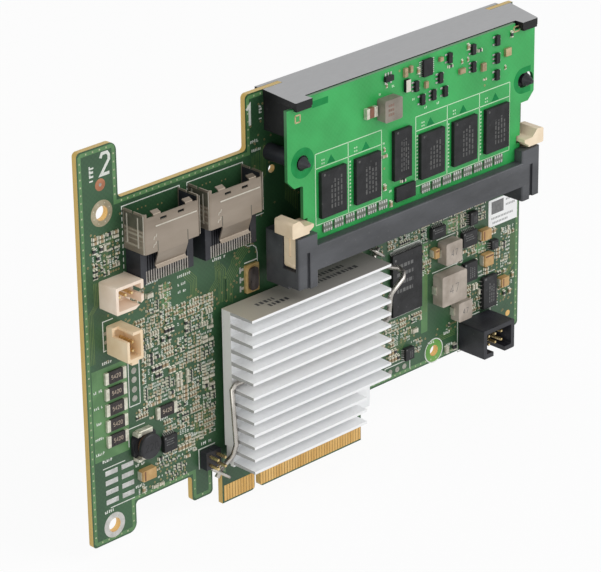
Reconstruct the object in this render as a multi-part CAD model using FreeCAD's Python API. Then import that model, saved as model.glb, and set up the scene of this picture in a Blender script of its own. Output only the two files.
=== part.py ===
import FreeCAD
import Part
import math
import os

# Raid controller card, millimetres.
# Frame: X along the card from the bracket edge to the free edge, Z up from the edge fingers,
# -Y towards the component side. The origin lies at the centre of the key notch, on the
# lower edge of the fingers, half way through the board.

# Main board
board_thickness = 1.57
board_left = 57.2
board_margin = 7.9
shoulder_drop = 4.5
shoulder_width = 4.1
corner_radius = 1.2
tab_height = 14.95
first_tab_width = 12.7
port_room = 1.45
saddle_depth = 1.9
saddle_inset_left = 8.6
saddle_inset_right = 4.2
low_tab_height = 3.8
low_tab_width = 14.7
mid_edge_height = 12.1
leg_left = -23.2
leg_right = -16.0
leg_height = 4.6
leg_slot_height = 13.0
right_edge_height = 13.9

# Edge connector, eight lanes
finger_pitch = 1.0
finger_width = 0.7
finger_length = 4.6
finger_foot = 0.45
finger_thickness = 0.05
notch_width = 1.9
notch_depth = 8.25
short_finger_count = 11
long_finger_count = 38
short_tab_length = 11.65
long_tab_length = 38.15

# Holes
bracket_hole_inset = 7.3
bracket_hole_low = 8.2
bracket_hole_spacing = 85.5
bracket_hole_radius = 1.95
corner_hole_inset = 34.6
corner_hole_z = 17.2
corner_hole_radius = 1.6
tooling_hole_step = 0.7
tooling_hole_drop = 5.0
tooling_hole_radius = 1.1

# Controller chip, thermal pad and heatsink
heatsink_left = -13.1
heatsink_width = 50.5
heatsink_rise = 0.71
heatsink_base = 3.2
heatsink_lift = 2.0
fin_count = 13
upper_fin_count = 6
fin_pitch = 3.52
fin_tip = 0.75
fin_root = 1.1
fin_depth = 8.06
channel_extra = 0.55
short_fin_count = 3
short_fin_cut = 9.3
base_margin = 0.65
base_step_depth = 0.6
base_step_height = 5.4
chip_size = 31.0
chip_substrate = 1.1
chip_mould_inset = 2.0
chip_centre_x = 12.0
pad_thickness = 0.2

# Clip wire and its anchors
clip_radius = 0.7
clip_bend = 1.2
clip_gap = 0.3
clip_lead_in = 0.8
clip_side_out = 2.3
clip_hook_length = 2.0
clip_hook_past = 1.5
clip_left_depths = (4.4, 7.0, 8.2)
clip_left_heights = (1.2, 4.4, 7.6)
clip_right_run = ((0.0, 4.8, 2.2), (0.2, 5.3, 9.6), (5.6, 4.8, 12.6), (7.7, 2.8, 14.1))
clip_right_turn = (1.9, 2.4, 2.6)
rod_side_count = 12
anchor_radius = 0.45
anchor_bend = 0.9
anchor_reach = 2.6
low_anchor_place = (1.5, 2.4)
low_anchor_half = 3.6
high_anchor_place = (6.6, 2.4)
high_anchor_half = 2.6
anchor_slope = (0.8, 0.6)

# Cable ports, two alike
port_inset = 14.05
port_gap = 3.1
port_width = 18.5
port_depth = 7.75
port_drop = 3.0
port_height = 10.6
port_steel = 0.35
port_corner = 0.9
port_tab_width = 9.9
port_tab_drop = 4.1
port_tab_slant = 1.3
port_lip = 1.1
curl_left = 4.9
curl_right = 5.6
curl_width = 2.4
port_slot_width = 4.2
port_slot_height = 0.7
housing_depth = 5.3
housing_overlap = 1.4
housing_height = 10.4
housing_ear = 1.7
housing_gap = 0.15
housing_step = 1.0
housing_rib_depth = 0.5
housing_rib_gap = 0.38
housing_plain = 6.2
housing_comb_top = 3.4
housing_comb_foot = 1.0
nose_thickness = 3.3
nose_height = 4.6
nose_width = 15.2
card_slot = 1.2
card_slot_width = 13.4
card_slot_depth = 4.0
tail_count = 18
tail_margin = 2.45
tail_width = 0.34
tail_thickness = 0.2
tail_drop = 1.0
tail_inset = 0.05
tail_run_rise = 0.1

# Memory module
module_front = 12.9
module_thickness = 1.0
module_height = 44.2
module_drop = 0.15
module_half_low = 41.0
module_shoulder_width = 5.4
module_shoulder_drop = 23.3
module_corner_drop = 1.9
module_corner_width = 7.9
module_chamfer = 2.3
module_hole_inset = 5.3
module_slot_inset = 3.4
module_hole_drop = 17.1
module_hole_radius = 2.05
module_slot_half = 1.0
module_notch_depth = 1.4
module_key_left = 7.6
module_key_width = 2.4
module_key_depth = 3.2

# Memory socket
socket_gap = 3.5
socket_front = 16.0
tower_width = 6.9
tower_overhang = 4.8
tower_drop = 4.4
tower_rise = 3.5
socket_bar_height = 6.7
seat_depth = 4.8
slot_clearance = 0.15
slot_floor_gap = 0.2
tower_back_gap = 3.0
tower_step_height = 0.6
tower_step_depth = 4.0
groove_width = 1.2
groove_inset = 3.4
groove_depth = 0.6
groove_drop = 4.5
socket_tail_count = 61
socket_tail_pitch = 1.2
socket_tail_width = 0.3
socket_tail_reach = 1.6
socket_tail_thickness = 0.25

# Latches
latch_width = 4.1
latch_clearance = 0.3
latch_stem = 2.3
latch_inset = 0.3
latch_pivot_rise = 6.8
latch_pivot_radius = 0.8
latch_bore_clearance = 0.06
latch_stub = 0.8
latch_foot_radius = 1.25
latch_head_gap = 0.4
latch_head_height = 4.5
latch_head_out = 2.1
latch_head_width = 6.5
latch_hump = 2.6
latch_lip_gap = 0.3
latch_shoulder = 0.25
latch_relief = 0.15
latch_nose = 1.0
latch_nose_rise = 1.4
latch_nose_height = 1.1
latch_notch_gap = 0.5
latch_slot_depth = 4.0

# Retention bar and stand-offs
bar_room = 4.5
bar_short_left = 1.7
bar_short_right = 0.6
bar_back_shift = 1.7
bar_back_spread = 4.1
bar_depth = 10.9
bar_lip = 1.2
bar_lip_drop = 3.6
bar_lip_past = 1.3
bar_gap = 0.1
bar_hook_width = 5.9
bar_hook_reach = 2.8
bar_hook_drop = 0.6
bar_wall = 1.8
bar_wall_drop = 10.95
bar_rib = 1.2
bar_rib_drop = 1.2
peg_radius = 2.25
peg_neck = 1.35
peg_barb = 1.75
peg_tip = 0.5
peg_reach = 2.3

# Chips on the module, across from its middle and down from its upper edge
dram_width = 9.1
dram_height = 12.6
dram_thickness = 1.15
dram_rise = 2.2
dram_places = (-35.5, -22.9, 1.2, 13.8, 26.4)
logic_chip_rise = 1.85
logic_chip_box = (-7.9, -0.6, 0, 4.1)
buffer_rise = 2.1
buffer_box = (-8.8, -2.3, 0, 13.8)
module_choke_rise = 4.3
module_choke_box = (-14.2, -7.8, 0, 6.0)
module_choke_height = 3.0
clock_chip_box = (2.4, 5.8, -5.6, -1.0)
small_chip_height = 0.9
small_chip_places = ((12.6, -2.9), (21.7, -2.9), (31.1, -2.8), (21.8, -7.8), (31.1, -7.8), (31.1, -12.5),
                     (9.1, -7.5), (0.0, -7.4), (10.9, -11.7), (6.5, -11.5), (2.3, -11.7))
small_chip_size = (1.4, 2.9)
turned_chip_box = (-11.7, -8.7, -3.3, -1.8)
white_part_box = (-4.3, -2.5, -8.0, -4.6)
resistor_pack_rise = 1.7
resistor_pack_size = (3.3, 1.7)
resistor_pack_pitch = 4.05
left_pack_start = -34.4
left_pack_count = 6
right_pack_start = 2.05
right_pack_count = 8
resistor_pack_height = 0.5

# Battery header, cable header, box header and pin header
battery_box = (5.4, 14.4, 68.8, 76.1)
battery_depth = 6.35
battery_wall = 0.85
battery_floor = 1.2
battery_notch = 1.6
battery_pitch = 2.0
battery_pin_count = 3
cable_box = (7.2, 12.4, 55.8, 63.6)
cable_depth = 7.75
cable_wall = 0.8
cable_floor = 1.4
cable_notch = 2.2
cable_pin_count = 2
cable_pitch = 2.4
shroud_box = (-24.5, -12.0, 13.9, 22.5)
shroud_depth = 9.6
shroud_wall = 1.3
shroud_floor = 1.5
shroud_slot_inset = 4.0
shroud_slot_width = 4.6
shroud_slot_depth = 7.2
shroud_pitch = 2.54
shroud_column_count = 3
shroud_row_count = 2
strip_box = (-20.1, -15.0, 13.2, 18.3)
strip_height = 2.5
strip_column_count = 2
strip_row_count = 2
strip_pitch = 2.54
strip_notch = 0.35
pin_width = 0.64
pin_reach = 3.2

# Large chip parts on the board
sense_count = 5
sense_first = (5.7, 48.0)
sense_pitch = 4.37
sense_size = (6.9, 3.2)
sense_cap = 1.1
sense_height = 0.75
shunt_place = (22.3, 32.6)
drum_place = (18.6, 27.6)
drum_base = 9.8
drum_radius = 4.6
drum_height = 3.6
drum_base_height = 1.0
choke_boxes = ((-33.2, -26.8, 43.0, 49.5), (-35.0, -25.2, 31.2, 40.2), (-27.7, -22.2, 24.2, 29.9))
choke_heights = (3.3, 3.6, 3.0)
choke_corner = 0.6
choke_terminal = 2.3
choke_terminal_depth = 0.4
choke_terminal_height = 1.4
flash_box = (-52.0, -40.5, 33.0, 51.2)
flash_height = 1.1
flash_lift = 0.1
flash_lead_count = 24
flash_lead_pitch = 0.5
flash_lead_width = 0.24
flash_lead_reach = 0.85
flash_lead_thickness = 0.15
left_logic_boxes = ((23.9, 28.3, 22.8, 27.2),)
right_logic_boxes = ((-36.6, -31.3, 51.2, 54.4), (-21.3, -18.4, 50.8, 54.6),
                     (-24.2, -18.6, 44.9, 49.3), (-23.6, -18.4, 34.2, 39.9),
                     (-15.7, -10.3, 23.7, 33.2), (-12.4, -9.8, 40.8, 43.5), (-47.0, -43.7, 18.4, 22.0))
logic_height = 1.35
crystal_gap = 0.35
crystal_size = (4.6, 7.8)
crystal_base = 0.8
crystal_height = 1.5
crystal_inset = 0.75
left_tantalum_boxes = ((15.6, 20.8, 17.6, 20.6),)
right_tantalum_boxes = ((-17.3, -13.0, 45.0, 48.1), (-16.2, -12.0, 36.9, 40.5),
                        (-9.1, -5.4, 28.4, 31.2), (-36.4, -34.0, 45.6, 48.4))
tantalum_height = 1.9
tantalum_cap = 0.35
label_inset = 1.0
label_size = (11.8, 8.1)
label_height = 47.2
label_thickness = 0.12

# Places that follow from the sizes above, from the slot upwards
front = -board_thickness / 2
back = board_thickness / 2
left = -board_left
notch_left = -notch_width / 2
notch_right = notch_width / 2
short_tab_left = notch_left - short_tab_length
long_tab_right = notch_right + long_tab_length
heatsink_right = heatsink_left + heatsink_width
heatsink_back = front - heatsink_lift
heatsink_foot = mid_edge_height + heatsink_rise
heatsink_top = heatsink_foot + base_margin + fin_tip + (fin_count - 1) * fin_pitch + channel_extra
base_front = heatsink_back - heatsink_base
fin_front = base_front - fin_depth
chip_centre_z = (heatsink_foot + heatsink_top) / 2
tower_foot = heatsink_top + socket_gap
socket_bar_foot = tower_foot + tower_drop
socket_bar_top = socket_bar_foot + socket_bar_height
tower_top = socket_bar_top + tower_rise
module_bottom = socket_bar_top - seat_depth
module_top = module_bottom + module_height
card_height = module_top + module_drop
module_back = module_thickness - module_front
module_mid = module_back - module_thickness / 2
module_corner_top = module_top - module_corner_drop
module_shoulder = module_top - module_shoulder_drop
module_hole_z = module_top - module_hole_drop
module_half_top = module_half_low + module_shoulder_width
latch_pivot_z = tower_foot + latch_pivot_rise
latch_head_foot = tower_top + latch_head_gap
latch_head_top = latch_head_foot + latch_head_height
latch_nose_low = latch_head_foot + latch_nose_rise
latch_nose_high = latch_nose_low + latch_nose_height
resistor_pack_row = socket_bar_top + resistor_pack_rise
dram_foot = resistor_pack_row + resistor_pack_size[1] + dram_rise
logic_chip_foot = socket_bar_top + logic_chip_rise
buffer_foot = logic_chip_foot + logic_chip_box[3] + buffer_rise
module_choke_foot = buffer_foot + buffer_box[3] + module_choke_rise
port_edge_height = card_height - tab_height
port_top = port_edge_height - port_drop
tail_pitch = (port_width - 2 * tail_margin) / (tail_count - 1)
port_bottom = port_top - port_height
housing_roof = port_bottom + housing_overlap
housing_foot = housing_roof - housing_height
comb_top = housing_foot + housing_comb_top
comb_foot = housing_foot + housing_comb_foot
tail_foot_z = housing_foot - tail_drop
first_tab_right = left + first_tab_width
port_centres = (left + port_inset + port_width / 2, left + port_inset + port_gap + 1.5 * port_width)
second_tab_left = port_centres[1] + port_width / 2 + port_room
bar_left = second_tab_left + bar_room
module_centre = bar_left + module_half_top - bar_short_left
bar_right = module_centre + module_half_top - bar_short_right
bar_lip_right = bar_right + bar_lip_past
saddle_left = bar_left + saddle_inset_left
saddle_right = bar_right - saddle_inset_right
board_right = bar_lip_right + board_margin
module_hole_x = module_centre - module_half_top + module_hole_inset
module_slot_x = module_centre + module_half_top - module_slot_inset
module_key_x = module_centre - module_key_left
socket_half = module_half_low + tower_overhang
socket_left = module_centre - socket_half
socket_right = module_centre + socket_half
pivot_offset = socket_half - latch_inset - latch_stem / 2


def rounded_wire(points, place):
    """Closed wire through (a, b, radius) corners; place turns (a, b) into a space point."""
    edges = []
    count = len(points)
    ends = []
    for i in range(count):
        a, b, r = points[i]
        before = points[i - 1]
        after = points[(i + 1) % count]
        if r <= 0:
            ends.append(((a, b), None, (a, b)))
            continue
        ux, uy = before[0] - a, before[1] - b
        vx, vy = after[0] - a, after[1] - b
        ul, vl = math.hypot(ux, uy), math.hypot(vx, vy)
        ux, uy, vx, vy = ux / ul, uy / ul, vx / vl, vy / vl
        half = math.acos(max(-1.0, min(1.0, ux * vx + uy * vy))) / 2
        cut = min(r / math.tan(half), 0.49 * ul, 0.49 * vl)
        r = cut * math.tan(half)
        bx, by = ux + vx, uy + vy
        bl = math.hypot(bx, by)
        reach = r / math.sin(half) - r
        mid = (a + bx / bl * reach, b + by / bl * reach)
        ends.append(((a + ux * cut, b + uy * cut), mid, (a + vx * cut, b + vy * cut)))
    for i in range(count):
        start, mid, end = ends[i]
        if mid:
            edges.append(Part.Arc(place(*start), place(*mid), place(*end)).toShape())
        following = ends[(i + 1) % count][0]
        if math.hypot(following[0] - end[0], following[1] - end[1]) > 1e-6:
            edges.append(Part.LineSegment(place(*end), place(*following)).toShape())
    return Part.Wire(edges)


def plate_xz(points, y0, y1):
    """Solid with its outline in the XZ plane, between two depths."""
    face = Part.Face(rounded_wire(points, lambda a, b: FreeCAD.Vector(a, y0, b)))
    return face.extrude(FreeCAD.Vector(0, y1 - y0, 0))


def plate_yz(points, x0, x1):
    """Solid with its profile in the YZ plane, between two places along the card."""
    face = Part.Face(rounded_wire(points, lambda a, b: FreeCAD.Vector(x0, a, b)))
    return face.extrude(FreeCAD.Vector(x1 - x0, 0, 0))


def plate_xy(points, z0, z1):
    """Solid with its outline in the XY plane, between two heights."""
    face = Part.Face(rounded_wire(points, lambda a, b: FreeCAD.Vector(a, b, z0)))
    return face.extrude(FreeCAD.Vector(0, 0, z1 - z0))


def block(x0, x1, y0, y1, z0, z1):
    """Rectangular solid between two corners given in any order."""
    low = FreeCAD.Vector(min(x0, x1), min(y0, y1), min(z0, z1))
    return Part.makeBox(abs(x1 - x0), abs(y1 - y0), abs(z1 - z0), low)


def round_y(x, z, radius, y0, y1):
    """Cylinder along Y between two depths."""
    return Part.makeCylinder(radius, abs(y1 - y0), FreeCAD.Vector(x, min(y0, y1), z),
                             FreeCAD.Vector(0, 1, 0))


def moved(box, x, z):
    """Rectangle carried to a place on the card."""
    x0, x1, z0, z1 = box
    return (x0 + x, x1 + x, z0 + z, z1 + z)


def chip(box, height, radius=0.0, lift=0.0, seat=None):
    """Moulded body standing on a face that looks towards -Y."""
    x0, x1, z0, z1 = box
    base = (front if seat is None else seat) - lift
    outline = [(x0, z0, radius), (x1, z0, radius), (x1, z1, radius), (x0, z1, radius)]
    return plate_xz(outline, base, base - height)


def frame_points(box, radius):
    """Corner list of a rounded rectangle."""
    x0, x1, z0, z1 = box
    return [(x0, z0, radius), (x1, z0, radius), (x1, z1, radius), (x0, z1, radius)]


def inset(box, amount):
    """Rectangle drawn in by the same amount on every side."""
    x0, x1, z0, z1 = box
    return (x0 + amount, x1 - amount, z0 + amount, z1 - amount)


def bent_rod(points, radius, bend):
    """Wire of twelve flats along straight runs, with each bend taken in one short step."""
    vectors = [FreeCAD.Vector(*p) for p in points]
    path = [vectors[0]]
    for i in range(1, len(vectors) - 1):
        corner = vectors[i]
        to_last = (vectors[i - 1] - corner).normalize()
        to_next = (vectors[i + 1] - corner).normalize()
        half = to_last.getAngle(to_next) / 2
        room = min((vectors[i - 1] - corner).Length, (vectors[i + 1] - corner).Length)
        cut = min(bend / math.tan(half), 0.4 * room)
        path.extend([corner + to_last * cut, corner + to_next * cut])
    path.append(vectors[-1])
    ring = Part.makeCircle(radius, path[0], path[1] - path[0])
    section = Part.makePolygon(ring.discretize(rod_side_count + 1))
    return Part.makePolygon(path).makePipeShell([section], True, False, 1)


def save(name, shapes):
    """Write one node; several solids go into one compound."""
    solids = shapes if isinstance(shapes, list) else [shapes]
    single = []
    for shape in solids:
        single.extend(shape.Solids)
    result = single[0] if len(single) == 1 else Part.makeCompound(single)
    result.exportStep("parts/" + name + ".step")


# Main board: one routed outline with its key notch, tabs, leg and drilled holes
def main_board():
    r = corner_radius
    saddle = card_height - saddle_depth
    low_tab_right = left + low_tab_width
    shoulder_height = card_height - shoulder_drop
    shoulder_x = board_right - shoulder_width
    outline = [
        (left, low_tab_height, r), (low_tab_right, low_tab_height, 2 * r),
        (low_tab_right, mid_edge_height, r), (leg_left, mid_edge_height, r),
        (leg_left, leg_height, r), (leg_right, leg_height, r),
        (leg_right, leg_slot_height, r), (short_tab_left, leg_slot_height, r),
        (short_tab_left, 0, 0), (notch_left, 0, r), (notch_left, notch_depth, notch_width / 2),
        (notch_right, notch_depth, notch_width / 2), (notch_right, 0, r), (long_tab_right, 0, 0),
        (long_tab_right, right_edge_height, r), (board_right, right_edge_height, r),
        (board_right, shoulder_height, r), (shoulder_x, shoulder_height, 0),
        (shoulder_x, card_height, 0), (saddle_right, card_height, 0), (saddle_right, saddle, 0),
        (saddle_left, saddle, 0), (saddle_left, card_height, 0),
        (second_tab_left, card_height, r), (second_tab_left, port_edge_height, r),
        (first_tab_right, port_edge_height, r), (first_tab_right, card_height, 2 * r),
        (left, card_height, r)]
    board = plate_xz(outline, front, back)
    bracket_x = left + bracket_hole_inset
    holes = [(bracket_x, bracket_hole_low, bracket_hole_radius),
             (bracket_x, bracket_hole_low + bracket_hole_spacing, bracket_hole_radius),
             (board_right - corner_hole_inset, corner_hole_z, corner_hole_radius),
             (module_hole_x + tooling_hole_step, module_hole_z - tooling_hole_drop,
              tooling_hole_radius)]
    for x, z, radius in holes:
        board = board.cut(round_y(x, z, radius, front - 1, back + 1))
    return board


# Gold contacts of the edge connector on both faces
def edge_contacts():
    pads = []
    half = finger_width / 2
    first = notch_right + (long_tab_length - (long_finger_count - 1) * finger_pitch) / 2
    last = notch_left - (first - notch_right)
    centres = [last - i * finger_pitch for i in range(short_finger_count)]
    centres += [first + i * finger_pitch for i in range(long_finger_count)]
    for x in centres:
        for face, side in ((front, -1), (back, 1)):
            pads.append(block(x - half, x + half, face, face + side * finger_thickness,
                              finger_foot, finger_foot + finger_length))
    return pads


# Controller package under the heatsink
def controller_chip():
    half = chip_size / 2
    box = (chip_centre_x - half, chip_centre_x + half, chip_centre_z - half, chip_centre_z + half)
    substrate = plate_xz(frame_points(box, 0.5), front, front - chip_substrate)
    mould_top = heatsink_back + pad_thickness
    mould = plate_xz(frame_points(inset(box, chip_mould_inset), 1.0), front - chip_substrate, mould_top)
    return substrate.fuse(mould)


def thermal_pad():
    half = chip_size / 2 - chip_mould_inset
    box = (chip_centre_x - half, chip_centre_x + half, chip_centre_z - half, chip_centre_z + half)
    return plate_xz(frame_points(inset(box, 1.0), 0.5), heatsink_back + pad_thickness, heatsink_back)


# Extruded heatsink: comb profile, tapered fins, clip channel, lowest fins cropped
def fin_heights():
    tops = []
    for i in range(fin_count):
        extra = channel_extra if i >= upper_fin_count else 0.0
        tops.append(heatsink_top - i * fin_pitch - extra)
    return tops


def heatsink():
    profile = [(heatsink_back, heatsink_foot, 0), (heatsink_back, heatsink_top, 0)]
    swell = (fin_root - fin_tip) / 2
    last = fin_count - 1
    for i, top in enumerate(fin_heights()):
        if i > 0:
            profile.append((base_front, top + swell, 0))
        profile.append((fin_front, top, 0))
        profile.append((fin_front, top - fin_tip, 0))
        profile.append((base_front, top - fin_tip - (swell if i < last else 0), 0))
    profile.append((base_front, heatsink_foot, 0))
    body = plate_yz(profile, heatsink_left, heatsink_right)
    lowest = fin_heights()[fin_count - short_fin_count] + fin_root
    crop = block(heatsink_right - short_fin_cut, heatsink_right + 1, base_front, fin_front - 1,
                 heatsink_foot - 1, lowest)
    step = block(heatsink_left - 1, heatsink_left + base_step_depth, heatsink_back + 1, base_front + 1.2,
                 heatsink_foot - 1, heatsink_foot + base_step_height)
    return body.cut(crop).cut(step)


# Wire clip through the heatsink channel, hooked on two staples soldered into the board
def channel_height():
    tops = fin_heights()
    upper = tops[upper_fin_count - 1] - fin_root
    return (upper + tops[upper_fin_count]) / 2


def anchor_points():
    low = (heatsink_left - low_anchor_place[0], heatsink_foot - low_anchor_place[1])
    high = (heatsink_right + high_anchor_place[0], heatsink_top - high_anchor_place[1])
    return low, high


def heatsink_clip():
    """Wire through the channel; both ends drop and slip square on under a staple."""
    low, high = anchor_points()
    depth = base_front - clip_radius - clip_gap
    run = channel_height()
    under = front - anchor_reach + anchor_radius + clip_radius + clip_gap
    outside_left = heatsink_left - clip_radius - clip_gap
    outside_right = heatsink_right + clip_side_out
    across, along = anchor_slope
    before, past = clip_hook_length, clip_hook_past
    points = [(low[0] - past * along, under, low[1] - past * across),
              (low[0] + before * along, under, low[1] + before * across - clip_gap)]
    for drop, rise in zip(clip_left_depths, clip_left_heights):
        points.append((outside_left, -drop, heatsink_foot + rise))
    points.append((outside_left, depth, run))
    points.append((heatsink_right - clip_lead_in, depth, run))
    for dx, drop, rise in clip_right_run:
        points.append((outside_right + dx, base_front - drop, run + rise))
    dx, drop, fall = clip_right_turn
    points.append((high[0] - dx, under - drop, high[1] - fall))
    points.append((high[0] - before * along, under, high[1] - before * across))
    points.append((high[0] + past * along, under, high[1] + past * across))
    return bent_rod(points, clip_radius, clip_bend)


def clip_anchors():
    low, high = anchor_points()
    across, along = anchor_slope
    staples = []
    for (x, z), half in ((low, low_anchor_half), (high, high_anchor_half)):
        top = front - anchor_reach
        dx = half * across
        dz = half * along
        points = [(x - dx, front, z + dz), (x - dx, top, z + dz), (x + dx, top, z - dz),
                  (x + dx, front, z - dz)]
        staples.append(bent_rod(points, anchor_radius, anchor_bend))
    return staples


# Cable port: folded steel shell with a tab that leans back over the contact tails
def port_cage(centre):
    half = port_width / 2
    outer_front = front - port_depth
    inner_front = outer_front + port_steel
    r = port_corner
    skin = [(centre - half, front, 0), (centre - half, outer_front, r),
            (centre + half, outer_front, r), (centre + half, front, 0),
            (centre + half - port_steel, front, 0),
            (centre + half - port_steel, inner_front, r - port_steel),
            (centre - half + port_steel, inner_front, r - port_steel),
            (centre - half + port_steel, front, 0)]
    shell = plate_xy(skin, port_bottom, port_top)
    rim = port_top - 1.1
    shell = shell.cut(block(centre - half + r, centre + half - r, outer_front - 1, inner_front + 1,
                            rim, port_top + 1))
    for side in (-1, 1):
        wall = centre + side * half
        shell = shell.cut(block(wall - 1, wall + 1, front - 3.9, front - 3.1, port_top - 2.0,
                                port_top + 1))
        slot = centre + side * 2.9
        shell = shell.cut(block(slot - port_slot_width / 4, slot + port_slot_width / 4, outer_front - 1,
                                inner_front + 1, rim - 1.5, rim - 1.5 + port_slot_height))
    lean = outer_front + port_tab_slant
    tab_foot = port_bottom - port_tab_drop
    t = port_steel
    tab = [(outer_front, port_bottom + 0.5, 0), (outer_front, port_bottom - 0.6, 0.8),
           (lean, tab_foot, 0.3), (lean - port_lip * 0.7, tab_foot - port_lip * 0.7, 0),
           (lean - port_lip * 0.7 + t, tab_foot - port_lip * 0.7 - 0.1, 0),
           (lean + t, tab_foot, 0.3), (outer_front + t, port_bottom - 0.6, 0.8),
           (outer_front + t, port_bottom + 0.5, 0)]
    width = port_tab_width / 2
    return shell.fuse(plate_yz(tab, centre - width, centre + width))


def port_curls(centre):
    """Rolled spring lips on the front rim, above the two latch windows."""
    curls = []
    outer_front = front - port_depth
    rim = port_top - 1.1
    for x in (centre - curl_left, centre + curl_right):
        y = outer_front + port_steel / 2
        roll = [(y - 0.15, rim - 0.2, 0), (y - 0.15, rim + 0.55, 0.3), (y + 1.25, rim + 1.15, 0.3),
                (y + 1.25, rim + 0.85, 0.2), (y + 0.15, rim + 0.35, 0.2), (y + 0.15, rim - 0.2, 0)]
        curls.append(plate_yz(roll, x - curl_width / 2, x + curl_width / 2))
    return curls


def port_housing(centre):
    """Moulded body: ears at both ends, ribs over the tails, a nose with the card slot."""
    half = port_width / 2 - port_steel - housing_gap
    depth = front - housing_depth
    ears = block(centre - half, centre + half, front, depth, housing_foot, housing_roof)
    comb_half = half - housing_ear
    step = depth + housing_step
    relief = [(front + 1, housing_foot - 1, 0), (front + 1, comb_foot, 0), (step, comb_foot, 0.3),
              (step, comb_top, 0), (depth - 1, comb_top, 0), (depth - 1, housing_foot - 1, 0)]
    body = ears.cut(plate_yz(relief, centre - comb_half, centre + comb_half))
    for i in range(tail_count - 1):
        x = centre + (i + 1 - tail_count / 2) * tail_pitch
        if abs(x - centre) < housing_plain / 2:
            continue
        body = body.cut(block(x - housing_rib_gap / 2, x + housing_rib_gap / 2, depth - 1,
                              depth + housing_rib_depth, comb_top - 1, port_bottom + 0.4))
    middle = (front + depth) / 2
    nose = nose_thickness / 2
    body = body.fuse(plate_yz([(middle - nose, housing_roof - 1, 0), (middle + nose, housing_roof - 1, 0),
                               (middle + nose, housing_roof + nose_height, 0.3),
                               (middle - nose, housing_roof + nose_height, 0.3)],
                              centre - nose_width / 2, centre + nose_width / 2))
    return body.cut(block(centre - card_slot_width / 2, centre + card_slot_width / 2,
                          middle - card_slot / 2, middle + card_slot / 2,
                          housing_roof + nose_height - card_slot_depth,
                          housing_roof + nose_height + 1))


def port_contacts(centre):
    tails = []
    first = centre - (tail_count - 1) * tail_pitch / 2
    t = tail_thickness
    root = comb_top
    foot = front - t
    out = front - housing_depth + tail_inset
    run = housing_foot + tail_run_rise
    path = [(out, root, 0), (out, run, 0), (foot, run, 0), (foot, tail_foot_z, 0),
            (front, tail_foot_z, 0), (front, run + t, 0), (out + t, run + t, 0), (out + t, root, 0)]
    for i in range(tail_count):
        x = first + i * tail_pitch
        tails.append(plate_yz(path, x - tail_width / 2, x + tail_width / 2))
    return tails


# Memory module board with shoulders, hook corners, peg holes, latch notches and key
def module_board():
    c = module_centre
    top, low = module_half_top, module_half_low
    inner = low - module_notch_depth
    notch_low = latch_nose_low - latch_notch_gap
    notch_high = latch_nose_high + latch_notch_gap
    corner = top - module_corner_width

    def side(sign):
        return [
            (c + sign * low, module_bottom, 0), (c + sign * low, notch_low, 0),
            (c + sign * inner, notch_low, 0), (c + sign * inner, notch_high, 0),
            (c + sign * low, notch_high, 0), (c + sign * low, module_shoulder, 0.6),
            (c + sign * (top - module_chamfer), module_shoulder, 0),
            (c + sign * top, module_shoulder + module_chamfer, 0.4),
            (c + sign * top, module_corner_top, 0), (c + sign * corner, module_corner_top, 0),
            (c + sign * corner, module_top, 0)]

    key = module_key_width / 2
    key_top = module_bottom + module_key_depth
    bottom = [(module_key_x - key, module_bottom, 0), (module_key_x - key, key_top, key),
              (module_key_x + key, key_top, key), (module_key_x + key, module_bottom, 0)]
    outline = bottom + side(1) + list(reversed(side(-1)))
    board = plate_xz(outline, -module_front, module_back)
    reach = module_front + 1
    board = board.cut(round_y(module_hole_x, module_hole_z, module_hole_radius, -reach, module_back + 1))
    slot = [(module_slot_x - module_slot_half - module_hole_radius,
             module_hole_z - module_hole_radius, module_hole_radius),
            (module_slot_x + module_slot_half + module_hole_radius,
             module_hole_z - module_hole_radius, module_hole_radius),
            (module_slot_x + module_slot_half + module_hole_radius,
             module_hole_z + module_hole_radius, module_hole_radius),
            (module_slot_x - module_slot_half - module_hole_radius,
             module_hole_z + module_hole_radius, module_hole_radius)]
    return board.cut(plate_xz(slot, -reach, module_back + 1))


def on_module(box, foot, height, radius=0.0):
    return chip(moved(box, module_centre, foot), height, radius, seat=-module_front)


def module_memory():
    size = (0, dram_width, 0, dram_height)
    return [chip(moved(size, module_centre + x, dram_foot), dram_thickness, seat=-module_front)
            for x in dram_places]


def module_small_parts():
    parts = [on_module(turned_chip_box, module_top, small_chip_height),
             on_module(white_part_box, module_top, small_chip_height)]
    width, height = small_chip_size
    for column, row in small_chip_places:
        box = moved((-width / 2, width / 2, -height / 2, height / 2), column, row)
        parts.append(on_module(box, module_top, small_chip_height))
    return parts


def resistor_packs():
    parts = []
    width, height = resistor_pack_size
    for start, count in ((left_pack_start, left_pack_count), (right_pack_start, right_pack_count)):
        for i in range(count):
            x = module_centre + start + i * resistor_pack_pitch
            parts.append(block(x, x + width, -module_front, -module_front - resistor_pack_height,
                               resistor_pack_row, resistor_pack_row + height))
    return parts


# Memory socket: two towers joined by the contact bar, one moulding
def latch_frame(side):
    """Centre of the latch pivot on the left (-1) or right (1) tower."""
    return module_centre + side * pivot_offset


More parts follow.
